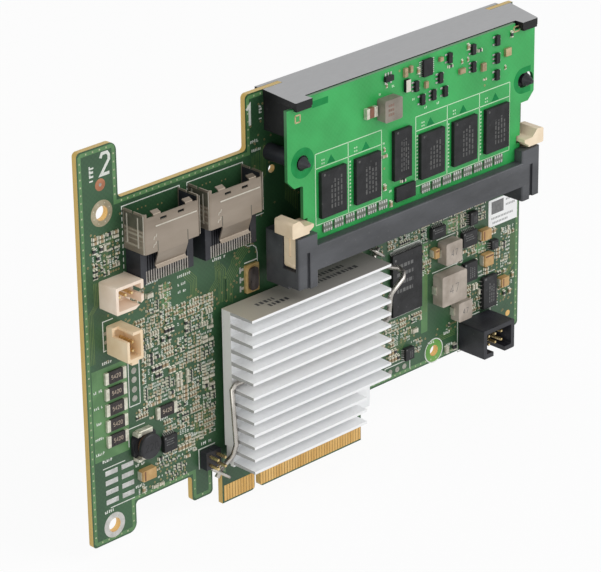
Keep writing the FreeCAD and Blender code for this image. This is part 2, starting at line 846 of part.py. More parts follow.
def dimm_socket():
    y0, y1 = front, -socket_front
    bar = plate_yz([(y0, socket_bar_foot, 0), (y1, socket_bar_foot, 0), (y1, socket_bar_top, 0.5),
                    (y0, socket_bar_top, 0)], socket_left + tower_width - 1,
                   socket_right - tower_width + 1)
    body = bar
    gap_low = module_back + slot_clearance
    gap_high = -module_front - slot_clearance
    for side in (-1, 1):
        outer = module_centre + side * socket_half
        inner = outer - side * tower_width
        rear = y0 - tower_back_gap
        tower = plate_xy([(outer, rear, 0.4), (outer, y1, 0.5), (inner, y1, 0.5), (inner, rear, 0.4)],
                         tower_foot, tower_top)
        groove = outer - side * groove_inset
        tower = tower.cut(block(groove - groove_width / 2, groove + groove_width / 2, y1 - 1,
                                y1 + groove_depth, tower_foot - 1, tower_top - groove_drop))
        tower = tower.cut(block(outer - side * tower_width / 2, outer + side, y1 - 1, y1 + tower_step_depth,
                                tower_foot - 1, tower_foot + tower_step_height))
        body = body.fuse(tower)
    floor = module_bottom - slot_floor_gap
    half = module_half_low + slot_clearance
    body = body.cut(block(module_centre - half, module_centre + half, gap_low, gap_high, floor,
                          tower_top + 1))
    web = module_key_width / 2 - slot_clearance
    key = block(module_key_x - web, module_key_x + web, gap_low, gap_high, floor,
                module_bottom + module_key_depth - module_key_width / 2 - slot_clearance)
    body = body.fuse(key)
    room = latch_width / 2 + latch_clearance
    for side in (-1, 1):
        outer = module_centre + side * socket_half
        inner = outer - side * latch_slot_depth
        floor = latch_pivot_z - latch_foot_radius - latch_clearance
        body = body.cut(block(inner, outer + side, module_mid - room, module_mid + room, floor,
                              tower_top + 1))
        reach = room + latch_stub + 0.1
        body = body.cut(round_y(latch_frame(side), latch_pivot_z,
                                latch_pivot_radius + latch_bore_clearance,
                                module_mid - reach, module_mid + reach))
    return body.removeSplitter()


def socket_contacts():
    tails = []
    first = module_centre - (socket_tail_count - 1) * socket_tail_pitch / 2
    for i in range(socket_tail_count):
        x = first + i * socket_tail_pitch
        tails.append(block(x - socket_tail_width / 2, x + socket_tail_width / 2, front,
                           front - socket_tail_thickness, socket_bar_foot - socket_tail_reach,
                           socket_bar_foot))
    return tails


# Latch: round foot on a pivot pin, flat stem, humped head and a nose for the module notch
def latch(side):
    pivot = latch_frame(side)
    half = latch_stem / 2
    s = side
    head_out = pivot + s * (half + latch_head_out)
    head_in = module_centre + s * (module_half_low + latch_clearance)
    nose = module_centre + s * (module_half_low - latch_nose)
    y0 = module_mid - latch_width / 2
    y1 = module_mid + latch_width / 2
    wide = (latch_head_width - latch_width) / 2
    shoulder = head_in + s * latch_shoulder
    stem = [
        (pivot + s * half, latch_pivot_z, 0), (pivot + s * half, latch_head_foot + 1, 0),
        (pivot - s * half, latch_head_foot + 1, 0), (pivot - s * half, latch_pivot_z, 0)]
    nose_plate = [
        (pivot, latch_nose_high, 0), (nose, latch_nose_high, 0.3), (nose, latch_nose_low, 0.3),
        (head_in, latch_nose_low, 0), (pivot - s * (half - 0.3), latch_head_foot - 1.4, 0),
        (pivot, latch_head_foot - 1.4, 0)]
    crest = head_out - s * latch_hump
    head = [(head_out, latch_head_foot + 0.1, 0.5), (head_out, latch_head_top - 0.2, 0.6),
            (crest, latch_head_top, 0.5), (pivot - s * half, latch_nose_high, 0.4),
            (shoulder, latch_nose_high, 0.3), (shoulder, latch_head_foot + 0.1, 0.3)]
    body = plate_xz(head, y0 - wide, y1 + wide)
    lip = [(pivot, latch_nose_high, 0), (nose, latch_nose_high, 0.3), (nose, latch_nose_low + 0.2, 0.2),
           (head_in, latch_nose_low - 0.6, 0), (pivot, latch_nose_low - 0.6, 0)]
    body = body.fuse(plate_xz(lip, y0 - wide, -module_front - latch_lip_gap))
    flute = module_mid - 0.2
    stem = plate_xz(stem, y0, y1)
    stem = stem.cut(block(pivot + s * (half - 0.25), pivot + s * (half + 1), flute - 0.35, flute + 0.35,
                          latch_pivot_z + 2.2, latch_head_foot - 0.5))
    body = body.fuse(stem).fuse(plate_xz(nose_plate, y0 + latch_relief, y1 - latch_relief))
    body = body.fuse(round_y(pivot, latch_pivot_z, latch_foot_radius, y0 + 0.1, y1 - 0.1))
    return body.fuse(round_y(pivot, latch_pivot_z, latch_pivot_radius, y0 - latch_stub,
                             y1 + latch_stub))


# Retention bar: saddle over the board edge, hooks over the module corners, end walls below
def retention_bar():
    top = card_height
    under = card_height - saddle_depth + bar_gap
    edge_front = front - bar_depth
    hook_front = edge_front - bar_hook_reach
    back_left = bar_left + bar_back_shift
    back_right = bar_right + bar_back_spread
    lip_back = back + bar_gap + bar_lip
    outline = [
        (back_left, lip_back, 0), (back_left, front, 0), (bar_left, hook_front, 0.4),
        (bar_left + bar_hook_width, hook_front, 0), (bar_left + bar_hook_width, edge_front, 0),
        (bar_right - bar_hook_width, edge_front, 0), (bar_right - bar_hook_width, hook_front, 0),
        (bar_right, hook_front, 0.4), (back_right, front, 0), (bar_lip_right, front, 0),
        (bar_lip_right, lip_back, 0)]
    bar = plate_xy(outline, under, top)
    lip = block(back_left, bar_lip_right, back + bar_gap, lip_back, top - bar_lip_drop, under)
    bar = bar.fuse(lip)
    rib = block(back_left + 0.4, bar_right - 0.4, edge_front, edge_front + bar_rib,
                under - bar_rib_drop, under)
    bar = bar.fuse(rib)
    for x in (back_left + 0.2, bar_right - 0.4 - bar_wall):
        bar = bar.fuse(block(x, x + bar_wall, edge_front, front - bar_gap, top - bar_wall_drop, under))
    for x in (bar_left, bar_right - bar_hook_width):
        bar = bar.fuse(block(x + 0.3, x + bar_hook_width - 0.3, hook_front, hook_front + 1.2,
                             under - bar_hook_drop, under))
    for x0, x1 in ((back_left - 1, saddle_left), (saddle_right, back_right + 1)):
        bar = bar.cut(block(x0, x1, front - bar_gap, back + bar_gap, under - 1, top + 1))
    return bar.removeSplitter()


def standoff_pegs():
    """Stepped posts that carry the module's upper edge, each with a tapered snap tip."""
    pegs = []
    for x in (module_hole_x, module_slot_x):
        z = module_hole_z
        post = round_y(x, z, peg_radius, front, module_back)
        neck = round_y(x, z, peg_neck, module_back, -module_front - 0.2)
        base = FreeCAD.Vector(x, -module_front - 0.2, z)
        tip = Part.makeCone(peg_barb, peg_tip, peg_reach, base, FreeCAD.Vector(0, -1, 0))
        pegs.append(post.fuse(neck).fuse(tip))
    return pegs


# Open headers: a floor, four walls and a keyed rim
def open_shell(box, depth, wall, floor):
    shell = plate_xz(frame_points(box, 0.4), front, front - depth)
    return shell.cut(plate_xz(frame_points(inset(box, wall), 0.3), front - floor, front - depth - 1))


def battery_header():
    x0, x1, z0, z1 = moved(battery_box, left, 0)
    body = open_shell((x0, x1, z0, z1), battery_depth, battery_wall, battery_floor)
    outer = front - battery_depth
    wedge = [(x1 - 2.6, z0 - 1, 0), (x1 - 2.6, z0 + 0.1, 0), (x1 + 1, z0 + 2.2, 0), (x1 + 1, z0 - 1, 0)]
    body = body.cut(plate_xz(wedge, front - battery_floor, outer - 1))
    mid = (z0 + z1) / 2 - 0.4
    body = body.cut(block(x1 - battery_wall - 0.4, x1 + 1, front - 2.4, outer - 1, mid,
                          mid + battery_notch))
    return body


def header_pins(xs, zs, floor, tip, width=pin_width):
    pins = []
    half = width / 2
    for x in xs:
        for z in zs:
            pins.append(block(x - half, x + half, front - floor, front - tip, z - half, z + half))
    return pins


def battery_pins_group():
    x0, x1, z0, z1 = moved(battery_box, left, 0)
    middle = (x0 + x1) / 2 - 0.3
    xs = [middle + (i - 1) * battery_pitch for i in range(battery_pin_count)]
    return header_pins(xs, [(z0 + z1) / 2 + 0.3], battery_floor, battery_depth - 1.2)


def cable_header():
    x0, x1, z0, z1 = moved(cable_box, left, 0)
    body = open_shell((x0, x1, z0, z1), cable_depth, cable_wall, cable_floor)
    outer = front - cable_depth
    step = block(x0 - 1, x0 + 2.0, front - 2.2, outer - 1, z1 - cable_notch, z1 + 1)
    foot = block(x0 + 1.4, x0 + 3.4, outer, front - 2.0, z0 - 0.9, z0 + 0.1)
    return body.cut(step).fuse(foot)


def cable_pins_group():
    x0, x1, z0, z1 = moved(cable_box, left, 0)
    zs = [(z0 + z1) / 2 - 0.6 + (i - 0.5) * cable_pitch for i in range(cable_pin_count)]
    pins = header_pins([(x0 + x1) / 2 + 0.5], zs, cable_floor, cable_depth - 1.4)
    return pins


def box_header():
    x0, x1, z0, z1 = moved(shroud_box, board_right, 0)
    body = open_shell((x0, x1, z0, z1), shroud_depth, shroud_wall, shroud_floor)
    outer = front - shroud_depth
    slot_left = x0 + shroud_slot_inset
    slot = block(slot_left, slot_left + shroud_slot_width, outer + shroud_slot_depth, outer - 1, z0 - 1,
                 z0 + shroud_wall + 0.1)
    return body.cut(slot)


def box_header_pins():
    x0, x1, z0, z1 = moved(shroud_box, board_right, 0)
    mid_x, mid_z = (x0 + x1) / 2, (z0 + z1) / 2
    xs = [mid_x + (i - (shroud_column_count - 1) / 2) * shroud_pitch for i in range(shroud_column_count)]
    zs = [mid_z + (i - (shroud_row_count - 1) / 2) * shroud_pitch for i in range(shroud_row_count)]
    return header_pins(xs, zs, shroud_floor, shroud_depth - 1.4)


def strip_places():
    x0, x1, z0, z1 = strip_box
    mid_x, mid_z = (x0 + x1) / 2, (z0 + z1) / 2
    xs = [mid_x + (i - (strip_column_count - 1) / 2) * strip_pitch for i in range(strip_column_count)]
    zs = [mid_z + (i - (strip_row_count - 1) / 2) * strip_pitch for i in range(strip_row_count)]
    return xs, zs


def pin_strip():
    body = chip(strip_box, strip_height)
    xs, zs = strip_places()
    x0, x1, z0, z1 = strip_box
    for i in range(strip_column_count - 1):
        x = (xs[i] + xs[i + 1]) / 2
        for z, way in ((z0, 1), (z1, -1)):
            notch = [(x - strip_notch, z - way, 0), (x - strip_notch, z, 0),
                     (x, z + way * strip_notch, 0), (x + strip_notch, z, 0),
                     (x + strip_notch, z - way, 0)]
            body = body.cut(plate_xz(notch, front + 1, front - strip_height - 1))
    return body


def pin_strip_pins():
    xs, zs = strip_places()
    return header_pins(xs, zs, strip_height, strip_height + pin_reach)


# Resistors with wrapped end caps
def capped_part(x, z, size, height, cap):
    width, tall = size
    body = block(x + cap, x + width - cap, front, front - height + 0.05, z, z + tall)
    ends = [block(x, x + cap, front, front - height, z, z + tall),
            block(x + width - cap, x + width, front, front - height, z, z + tall)]
    return body, ends


def sense_places():
    x, z = sense_first
    places = [(left + x, z - i * sense_pitch) for i in range(sense_count)]
    places.append((left + shunt_place[0], shunt_place[1]))
    return places


def sense_resistors():
    return [capped_part(x, z, sense_size, sense_height, sense_cap)[0] for x, z in sense_places()]


def sense_caps():
    ends = []
    for x, z in sense_places():
        ends += capped_part(x, z, sense_size, sense_height, sense_cap)[1]
    return ends


# Coils: a drum on a base plate, and three pressed blocks
def drum_coil():
    x, z = left + drum_place[0], drum_place[1]
    half = drum_base / 2
    base = plate_xz(frame_points((x - half, x + half, z - half, z + half), 2.0), front,
                    front - drum_base_height)
    drum = round_y(x, z, drum_radius, front - drum_base_height, front - drum_height)
    return base.fuse(drum)


def power_chokes():
    parts = []
    for box, height in zip(choke_boxes, choke_heights):
        parts.append(chip(moved(box, board_right, 0), height, choke_corner))
    return parts


def choke_terminals():
    ends = []
    for box in choke_boxes:
        x0, x1, z0, z1 = moved(box, board_right, 0)
        middle = (z0 + z1) / 2
        half = choke_terminal / 2
        for x, way in ((x0, -1), (x1, 1)):
            ends.append(block(x, x + way * choke_terminal_depth, front, front - choke_terminal_height,
                              middle - half, middle + half))
    return ends


# Flash chip with gull-wing leads on its two short ends
def flash_chip():
    return chip(moved(flash_box, board_right, 0), flash_height, lift=flash_lift)


def flash_lead_rows():
    leads = []
    x0, x1, z0, z1 = moved(flash_box, board_right, 0)
    first = (x0 + x1) / 2 - (flash_lead_count - 1) * flash_lead_pitch / 2
    mid = front - flash_lift - flash_height / 2
    t = flash_lead_thickness
    for edge, way in ((z0, -1), (z1, 1)):
        tip = edge + way * flash_lead_reach
        bend = edge + way * flash_lead_reach / 2
        path = [(mid - t / 2, edge, 0), (front - t, bend, 0), (front - t, tip, 0), (front, tip, 0),
                (front, bend - way * t, 0), (mid + t / 2, edge, 0)]
        for i in range(flash_lead_count):
            x = first + i * flash_lead_pitch
            leads.append(plate_yz(path, x - flash_lead_width / 2, x + flash_lead_width / 2))
    return leads


def logic_chips():
    boxes = [moved(box, left, 0) for box in left_logic_boxes]
    boxes += [moved(box, board_right, 0) for box in right_logic_boxes]
    return [chip(box, logic_height) for box in boxes]


def crystal():
    width, height = crystal_size
    box = moved((-width, 0, 0, height), socket_left - crystal_gap, heatsink_top + crystal_gap)
    base = chip(box, crystal_base, 0.4)
    can = plate_xz(frame_points(inset(box, crystal_inset), 1.2), front - crystal_base,
                   front - crystal_height)
    return base, can


def tantalum_boxes():
    boxes = [moved(box, left, 0) for box in left_tantalum_boxes]
    return boxes + [moved(box, board_right, 0) for box in right_tantalum_boxes]


def tantalum_capacitors():
    return [chip((x0 + tantalum_cap, x1 - tantalum_cap, z0, z1), tantalum_height)
            for x0, x1, z0, z1 in tantalum_boxes()]


def tantalum_caps():
    ends = []
    for x0, x1, z0, z1 in tantalum_boxes():
        for a, b in ((x0, x0 + tantalum_cap), (x1 - tantalum_cap, x1)):
            ends.append(block(a, b, front, front - tantalum_height * 0.7, z0 + 0.4, z1 - 0.4))
    return ends


def label():
    width, height = label_size
    box = moved((-width, 0, 0, height), board_right - label_inset, label_height)
    return plate_xz(frame_points(box, 0.3), front, front - label_thickness)


os.makedirs("parts", exist_ok=True)
save("main_board", main_board())
save("edge_contacts", edge_contacts())
save("controller_chip", controller_chip())
save("thermal_pad", thermal_pad())
save("heatsink", heatsink())
save("heatsink_clip", heatsink_clip())
save("clip_anchors", clip_anchors())
for letter, centre in zip("ba", port_centres):
    cage = port_cage(centre)
    for curl in port_curls(centre):
        cage = cage.fuse(curl)
    save("port_cage_" + letter, cage)
    save("port_housing_" + letter, port_housing(centre))
    save("port_contacts_" + letter, port_contacts(centre))
save("module_board", module_board())
save("module_memory", module_memory())
save("module_buffer", on_module(buffer_box, buffer_foot, dram_thickness))
save("module_choke", on_module(module_choke_box, module_choke_foot, module_choke_height, 0.6))
save("module_logic", [on_module(clock_chip_box, module_top, small_chip_height),
                      on_module(logic_chip_box, logic_chip_foot, small_chip_height)])
save("module_small_parts", module_small_parts())
save("module_resistor_packs", resistor_packs())
save("dimm_socket", dimm_socket())
save("socket_contacts", socket_contacts())
save("latch_left", latch(-1))
save("latch_right", latch(1))
save("retention_bar", retention_bar())
save("standoff_pegs", standoff_pegs())
save("battery_header", battery_header())
save("battery_pins", battery_pins_group())
save("cable_header", cable_header())
save("cable_pins", cable_pins_group())
save("box_header", box_header())
save("box_header_pins", box_header_pins())
save("pin_strip", pin_strip())
save("pin_strip_pins", pin_strip_pins())
save("sense_resistors", sense_resistors())
save("sense_caps", sense_caps())
save("drum_coil", drum_coil())
save("power_chokes", power_chokes())
save("choke_terminals", choke_terminals())
save("flash_chip", flash_chip())
save("flash_leads", flash_lead_rows())
save("logic_chips", logic_chips())
save("crystal_base", crystal()[0])
save("crystal_can", crystal()[1])
save("tantalum_capacitors", tantalum_capacitors())
save("tantalum_caps", tantalum_caps())
save("label", label())
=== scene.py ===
import math
import random

import bmesh
import bpy
from mathutils import Matrix, Vector


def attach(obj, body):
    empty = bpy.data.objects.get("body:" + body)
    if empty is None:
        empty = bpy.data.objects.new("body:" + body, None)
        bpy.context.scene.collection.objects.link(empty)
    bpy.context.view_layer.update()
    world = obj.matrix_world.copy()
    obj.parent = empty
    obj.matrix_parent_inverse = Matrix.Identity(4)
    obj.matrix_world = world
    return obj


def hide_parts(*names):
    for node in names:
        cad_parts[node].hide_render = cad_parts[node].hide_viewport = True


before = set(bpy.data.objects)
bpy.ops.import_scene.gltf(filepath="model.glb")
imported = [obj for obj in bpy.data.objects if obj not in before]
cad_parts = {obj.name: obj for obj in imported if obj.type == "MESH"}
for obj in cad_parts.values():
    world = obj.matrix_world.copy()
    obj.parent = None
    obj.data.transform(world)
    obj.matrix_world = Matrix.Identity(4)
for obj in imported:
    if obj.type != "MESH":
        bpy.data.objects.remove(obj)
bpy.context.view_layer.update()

# Photo stand: a pale floor, soft daylight from all round and two soft boxes, the broader one to
# the right. The camera stands on the bracket side of the card and looks a little down at it, as
# in the photograph.
millimetre = 0.001
photo_width, focal_pixels, sensor_width = 601, 3083.9, 36.0
camera_turn, camera_height, camera_roll = (math.radians(v) for v in (-44.144, 23.901, -0.817))
camera_aim = Vector((11.9, -6.0, 56.25)) * millimetre
camera_reach = 798.8 * millimetre
scene = bpy.context.scene
scene.view_settings.view_transform = "Standard"

camera_data = bpy.data.cameras.new("photo_camera")
camera_data.sensor_width = sensor_width
camera_data.lens = focal_pixels / photo_width * sensor_width
camera_data.clip_start, camera_data.clip_end = 0.01, 20.0
camera = bpy.data.objects.new("photo_camera", camera_data)
scene.collection.objects.link(camera)
camera_back = Vector((math.sin(camera_turn) * math.cos(camera_height),
                      -math.cos(camera_turn) * math.cos(camera_height), math.sin(camera_height)))
level_right = Vector((math.cos(camera_turn), math.sin(camera_turn), 0.0))
level_up = camera_back.cross(level_right)
camera_right = math.cos(camera_roll) * level_right + math.sin(camera_roll) * level_up
camera_up = camera_back.cross(camera_right)
camera_axes = Matrix((camera_right, camera_up, camera_back)).transposed().to_4x4()
camera.matrix_world = Matrix.Translation(camera_aim + camera_back * camera_reach) @ camera_axes
scene.camera = camera


def feed(tree, node, *values, **named):
    """Give a node's sockets, in order or by name, a constant or another node's output."""
    by_name = [(node.inputs[name.replace("_", " ")], held) for name, held in named.items()]
    for socket, held in [*zip(node.inputs, values), *by_name]:
        if isinstance(held, bpy.types.NodeSocket):
            tree.links.new(held, socket)
        else:
            socket.default_value = held
    return node


def add_node(tree, kind, *values, operation=None, group=None, **named):
    """New shader node with its sockets fed; gives its outputs."""
    node = tree.nodes.new("ShaderNode" + kind)
    if operation:
        node.operation = operation
    if group:
        node.node_tree = group
    return feed(tree, node, *values, **named).outputs


def blend_colour(tree, share, low, high):
    """Mix of two colours, each a value or another node's output."""
    mix = tree.nodes.new("ShaderNodeMix")
    mix.data_type = "RGBA"
    tree.links.new(share, mix.inputs[0])
    for socket, value in ((mix.inputs[6], low), (mix.inputs[7], high)):
        if isinstance(value, tuple):
            socket.default_value = (*value, 1.0)
        else:
            tree.links.new(value, socket)
    return mix.outputs[2]


def seen_or_mirrored(tree):
    """One where a ray comes from the camera, a mirror or a clear body, else nothing."""
    path = add_node(tree, "LightPath")
    near = add_node(tree, "Math", path["Is Camera Ray"], path["Is Glossy Ray"], operation="MAXIMUM")[0]
    return add_node(tree, "Math", near, path["Is Transmission Ray"], operation="MAXIMUM")[0]


day_colour, paper_white = (0.50, 0.505, 0.51), (1.0, 1.0, 1.0)
day = bpy.data.worlds.new("studio_day")
day.use_nodes = True
scene.world = day
tree = day.node_tree
feed(tree, tree.nodes["Background"], Color=blend_colour(tree, seen_or_mirrored(tree), day_colour, paper_white))

soft_boxes = [("soft_box", Vector((0.42, -0.80, 0.62)), 0.75, 4.5),
              ("side_box", Vector((-0.85, -0.42, 0.34)), 0.55, 1.5)]
for name, place, size, power in soft_boxes:
    soft_box_data = bpy.data.lights.new(name, "AREA")
    soft_box_data.shape = "SQUARE"
    soft_box_data.size = size
    soft_box_data.energy = power
    soft_box = bpy.data.objects.new(name, soft_box_data)
    soft_box.location = place
    soft_box.rotation_euler = (place - camera_aim).to_track_quat("Z", "Y").to_euler()
    scene.collection.objects.link(soft_box)

floor_half, floor_glow, floor_grey = 2.5, 0.93, 0.93
floor_mesh = bpy.data.meshes.new("floor")
floor_corners = [(x * floor_half, y * floor_half, 0) for x, y in ((-1, -1), (1, -1), (1, 1), (-1, 1))]
floor_mesh.from_pydata(floor_corners, [], [(0, 1, 2, 3)])
floor = bpy.data.objects.new("floor", floor_mesh)
scene.collection.objects.link(floor)
floor_paint = bpy.data.materials.new("floor_paint")
floor_paint.use_nodes = True
tree = floor_paint.node_tree
matt = feed(tree, tree.nodes["Principled BSDF"], Base_Color=(floor_grey, floor_grey, floor_grey, 1.0), Roughness=0.9)
glow = add_node(tree, "Math", seen_or_mirrored(tree), floor_glow, operation="MULTIPLY")[0]
paint = add_node(tree, "MixShader", glow, matt.outputs[0], add_node(tree, "Emission")[0])
feed(tree, tree.nodes["Material Output"], Surface=paint[0])
floor_mesh.materials.append(floor_paint)

# Main board: glass cloth and resin with copper inside, routed to its outline, then coated with
# green solder mask. The cut edges show bare tan laminate, and a paler green ground band with
# stitch marks runs just inside them.
board_front, board_back = -0.785, 0.785
board_faces = ((board_front, -1), (board_back, 1))
mask_dark, mask_mid, mask_pale = (0.022, 0.066, 0.029), (0.036, 0.110, 0.044), (0.072, 0.195, 0.074)
laminate_dark, laminate_pale = (0.50, 0.315, 0.062), (0.76, 0.535, 0.145)
band_start, band_end, band_cut = 0.45, 1.45, 0.8
pour_depth = 0.012
notched_run = 8
outline_corners = [
    (-57.2, 3.8), (-42.5, 3.8), (-42.5, 12.1), (-23.2, 12.1), (-23.2, 4.6), (-16.0, 4.6),
    (-16.0, 13.0), (-12.6, 13.0), (-12.6, 6.2), (39.1, 6.2), (39.1, 13.9), (102.6, 13.9),
    (102.6, 106.65), (98.5, 106.65), (98.5, 111.15), (89.2, 111.15), (89.2, 109.25), (11.5, 109.25),
    (11.5, 111.15), (-1.6, 111.15), (-1.6, 96.2), (-44.5, 96.2), (-44.5, 111.15), (-57.2, 111.15)]


def new_group(name, inputs, outputs):
    """Node group with named sockets; gives the group and the sockets on its inner side.

    The grain is a broad tone and a fine one that change over the surface, and the wear is sparse
    pale flecks of dust and handling.
    """
    group = bpy.data.node_groups.new(name, "ShaderNodeTree")
    for label, kind in inputs:
        group.interface.new_socket(label, in_out="INPUT", socket_type="NodeSocket" + kind)
    for label in outputs:
        group.interface.new_socket(label, in_out="OUTPUT", socket_type="NodeSocketFloat")
    return group, group.nodes.new("NodeGroupInput").outputs, group.nodes.new("NodeGroupOutput").inputs


def share_between(tree, value, low, high, out_low=0.0, out_high=1.0):
    """How far a value has gone from low to high."""
    return add_node(tree, "MapRange", value, low, high, out_low, out_high)["Result"]


grain, given, wanted = new_group("surface_grain", (("Broad Scale", "Float"), ("Fine Scale", "Float"),
                                                   ("Stretch", "Vector")), ("Tone", "Fine"))
place = add_node(grain, "TexCoord")["Object"]
pulled = add_node(grain, "VectorMath", place, given["Stretch"], operation="MULTIPLY")[0]
for scale_name, out_name, detail in (("Broad Scale", "Tone", 3.0), ("Fine Scale", "Fine", 2.0)):
    noise = add_node(grain, "TexNoise", Vector=pulled, Scale=given[scale_name], Detail=detail)["Fac"]
    grain.links.new(share_between(grain, noise, 0.32, 0.68), wanted[out_name])

wear, given, wanted = new_group("dust_flecks", (("Scale", "Float"), ("Amount", "Float")), ("Mask",))
cells = add_node(wear, "TexVoronoi", Vector=add_node(wear, "TexCoord")["Object"], Scale=given["Scale"])
near = share_between(wear, cells["Distance"], 0.16, 0.05)
wear.links.new(add_node(wear, "Math", near, given["Amount"], operation="MULTIPLY")[0], wanted["Mask"])
fleck_scale, skin_join, sharp_edge = 420.0, 0.001, 35.0


def finish(name, low, high, broad=120.0, fine=2500.0, rough=0.5, rough_spread=0.08, metal=0.0,
           bump=0.15, bump_depth=0.02, stretch=(1, 1, 1), flecks=0.04, fleck_colour=(0.6, 0.6, 0.58), shine=0.5):
    """Material with a broad tone, a fine grain in gloss and relief, and a few dust flecks."""
    material = bpy.data.materials.new(name)
    material.use_nodes = True
    tree = material.node_tree
    skin = add_node(tree, "Group", group=grain, Broad_Scale=broad, Fine_Scale=fine, Stretch=stretch)
    dust = add_node(tree, "Group", group=wear, Scale=fleck_scale, Amount=flecks)
    tone = blend_colour(tree, skin["Tone"], low, high)
    gloss = share_between(tree, skin["Fine"], 0.0, 1.0, rough - rough_spread, rough + rough_spread)
    relief = add_node(tree, "Bump", Strength=bump, Distance=bump_depth * millimetre, Height=skin["Fine"])
    feed(tree, tree.nodes["Principled BSDF"], Base_Color=blend_colour(tree, dust["Mask"], tone, fleck_colour),
         Roughness=gloss, Normal=relief["Normal"], Metallic=metal, Specular_IOR_Level=shine)
    return material


def paint_of(material):
    """Node tree of a finish, its colour socket and what feeds that so far."""
    colour = material.node_tree.nodes["Principled BSDF"].inputs["Base Color"]
    return material.node_tree, colour, colour.links[0].from_socket


def facing(tree, axis, low, high):
    """Mask of the faces that look along one axis of the piece, either way."""
    normal = add_node(tree, "SeparateXYZ", add_node(tree, "TexCoord")["Normal"])
    size = add_node(tree, "Math", normal[axis], operation="ABSOLUTE")[0]
    return share_between(tree, size, low, high)


def mask_over_laminate(name, dark, mid, pale, broad, cut_dark=laminate_dark, cut_pale=laminate_pale):
    """Solder mask on both faces with copper areas showing through, tan layers on cut edges."""
    material = finish(name, dark, mid, broad=broad, fine=1500.0, rough=0.36, rough_spread=0.06,
                      bump=0.12, bump_depth=0.015, flecks=0.05, fleck_colour=pale)
    tree, colour, mask_colour = paint_of(material)
    place = add_node(tree, "TexCoord")["Object"]
    weave = add_node(tree, "TexChecker", Vector=place, Scale=1400.0)["Fac"]
    faces = blend_colour(tree, share_between(tree, weave, 0.0, 1.0, 0.0, 0.10), mask_colour, pale)
    squeezed = add_node(tree, "VectorMath", place, (0.12, 3.0, 0.12), operation="MULTIPLY")[0]
    layers = add_node(tree, "TexNoise", Vector=squeezed, Scale=900.0)["Fac"]
    edges = blend_colour(tree, layers, cut_dark, cut_pale)
    tree.links.new(blend_colour(tree, facing(tree, "Y", 0.3, 0.6), edges, faces), colour)
    return material


def dress(names, material, rounded=0.0):
    """Give carried-over nodes their finish, and small rounded edges as moulds leave them."""
    for name in names.split():
        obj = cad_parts[name]
        if not obj.material_slots:
            obj.data.materials.append(material)
        for held in obj.material_slots:
            held.material = material
        if rounded:
            obj.modifiers.new("join", "WELD").merge_threshold = skin_join * millimetre
            rounding = obj.modifiers.new("rounding", "BEVEL")
            rounding.width = rounded * millimetre
            rounding.segments = 2
            rounding.limit_method = "ANGLE"
            rounding.angle_limit = math.radians(sharp_edge)
            rounding.use_clamp_overlap = True


def new_stock():
    """Corner points in millimetres, faces over them, and which finish each face has."""
    return {"points": [], "faces": [], "tints": []}


def add_mesh(stock, points, faces, tint=0):
    """Corner points and the faces over them, all in one finish."""
    start = len(stock["points"])
    stock["points"].extend(points)
    stock["faces"].extend(tuple(start + i for i in face) for face in faces)
    stock["tints"].extend([tint] * len(faces))


def bridge(count, levels, closed=False):
    """Faces between loops of points that follow one another, from the last back to the first if closed."""
    steps = [(k * count, (k + 1) % levels * count) for k in range(levels if closed else levels - 1)]
    return [(a + i, b + i, b + (i + 1) % count, a + (i + 1) % count) for a, b in steps for i in range(count)]


def circle(x, z, radius, sides):
    """Places round a centre."""
    turns = [2 * math.pi * i / sides for i in range(sides)]
    return [(x + radius * math.cos(turn), z + radius * math.sin(turn)) for turn in turns]


def add_prism(stock, outline, y0, y1, tint=0):
    """Closed plate on an outline in the card's plane, between two depths."""
    count = len(outline)
    ends = [tuple(range(count)), tuple(range(2 * count - 1, count - 1, -1))]
    add_mesh(stock, [(x, y, z) for y in (y0, y1) for x, z in outline], ends + bridge(count, 2), tint)


def add_plate(stock, x0, x1, z0, z1, y0, y1, tint=0):
    """Plain box."""
    add_prism(stock, [(x0, z0), (x1, z0), (x1, z1), (x0, z1)], y0, y1, tint)


def add_block(stock, x0, x1, z0, z1, y0, y1, edge=0.06, tint=0):
    """Moulded block seated at y0 whose outer face at y1 has chamfered edges."""
    lean = y1 - math.copysign(edge, y1 - y0)
    points = []
    for y, inset in ((y0, 0.0), (lean, 0.0), (y1, edge)):
        points.extend([(x0 + inset, y, z0 + inset), (x1 - inset, y, z0 + inset),
                       (x1 - inset, y, z1 - inset), (x0 + inset, y, z1 - inset)])
    add_mesh(stock, points, [(0, 1, 2, 3), (8, 11, 10, 9), *bridge(4, 3)], tint)


def add_ring(stock, x, z, inner, outer, y0, y1, tint=0, sides=24):
    """Flat washer in the card's plane; a zero inner radius gives a disc."""
    if inner <= 0:
        add_prism(stock, circle(x, z, outer, sides), y0, y1, tint)
        return
    loops = ((outer, y0), (outer, y1), (inner, y1), (inner, y0))
    points = [(a, y, b) for radius, y in loops for a, b in circle(x, z, radius, sides)]
    add_mesh(stock, points, bridge(sides, 4, closed=True), tint)


def add_line(stock, points, width, y0, y1, tint=0):
    """Flat track of even width along a run of points, mitred at the bends."""
    ways = [Vector((b[0] - a[0], b[1] - a[1])).normalized() for a, b in zip(points, points[1:])]
    loops = []
    for (x, z), first, last in zip(points, [ways[0], *ways], [*ways, ways[-1]]):
        way = (first + last).normalized()
        across = Vector((-way.y, way.x)) * (width / 2) / max(way.dot(last), 0.4)
        for side, y in ((1, y0), (-1, y0), (-1, y1), (1, y1)):
            loops.append((x + side * across.x, y, z + side * across.y))
    end = len(loops) - 4
    add_mesh(stock, loops, [*bridge(4, len(points)), (0, 1, 2, 3), (end, end + 1, end + 2, end + 3)], tint)


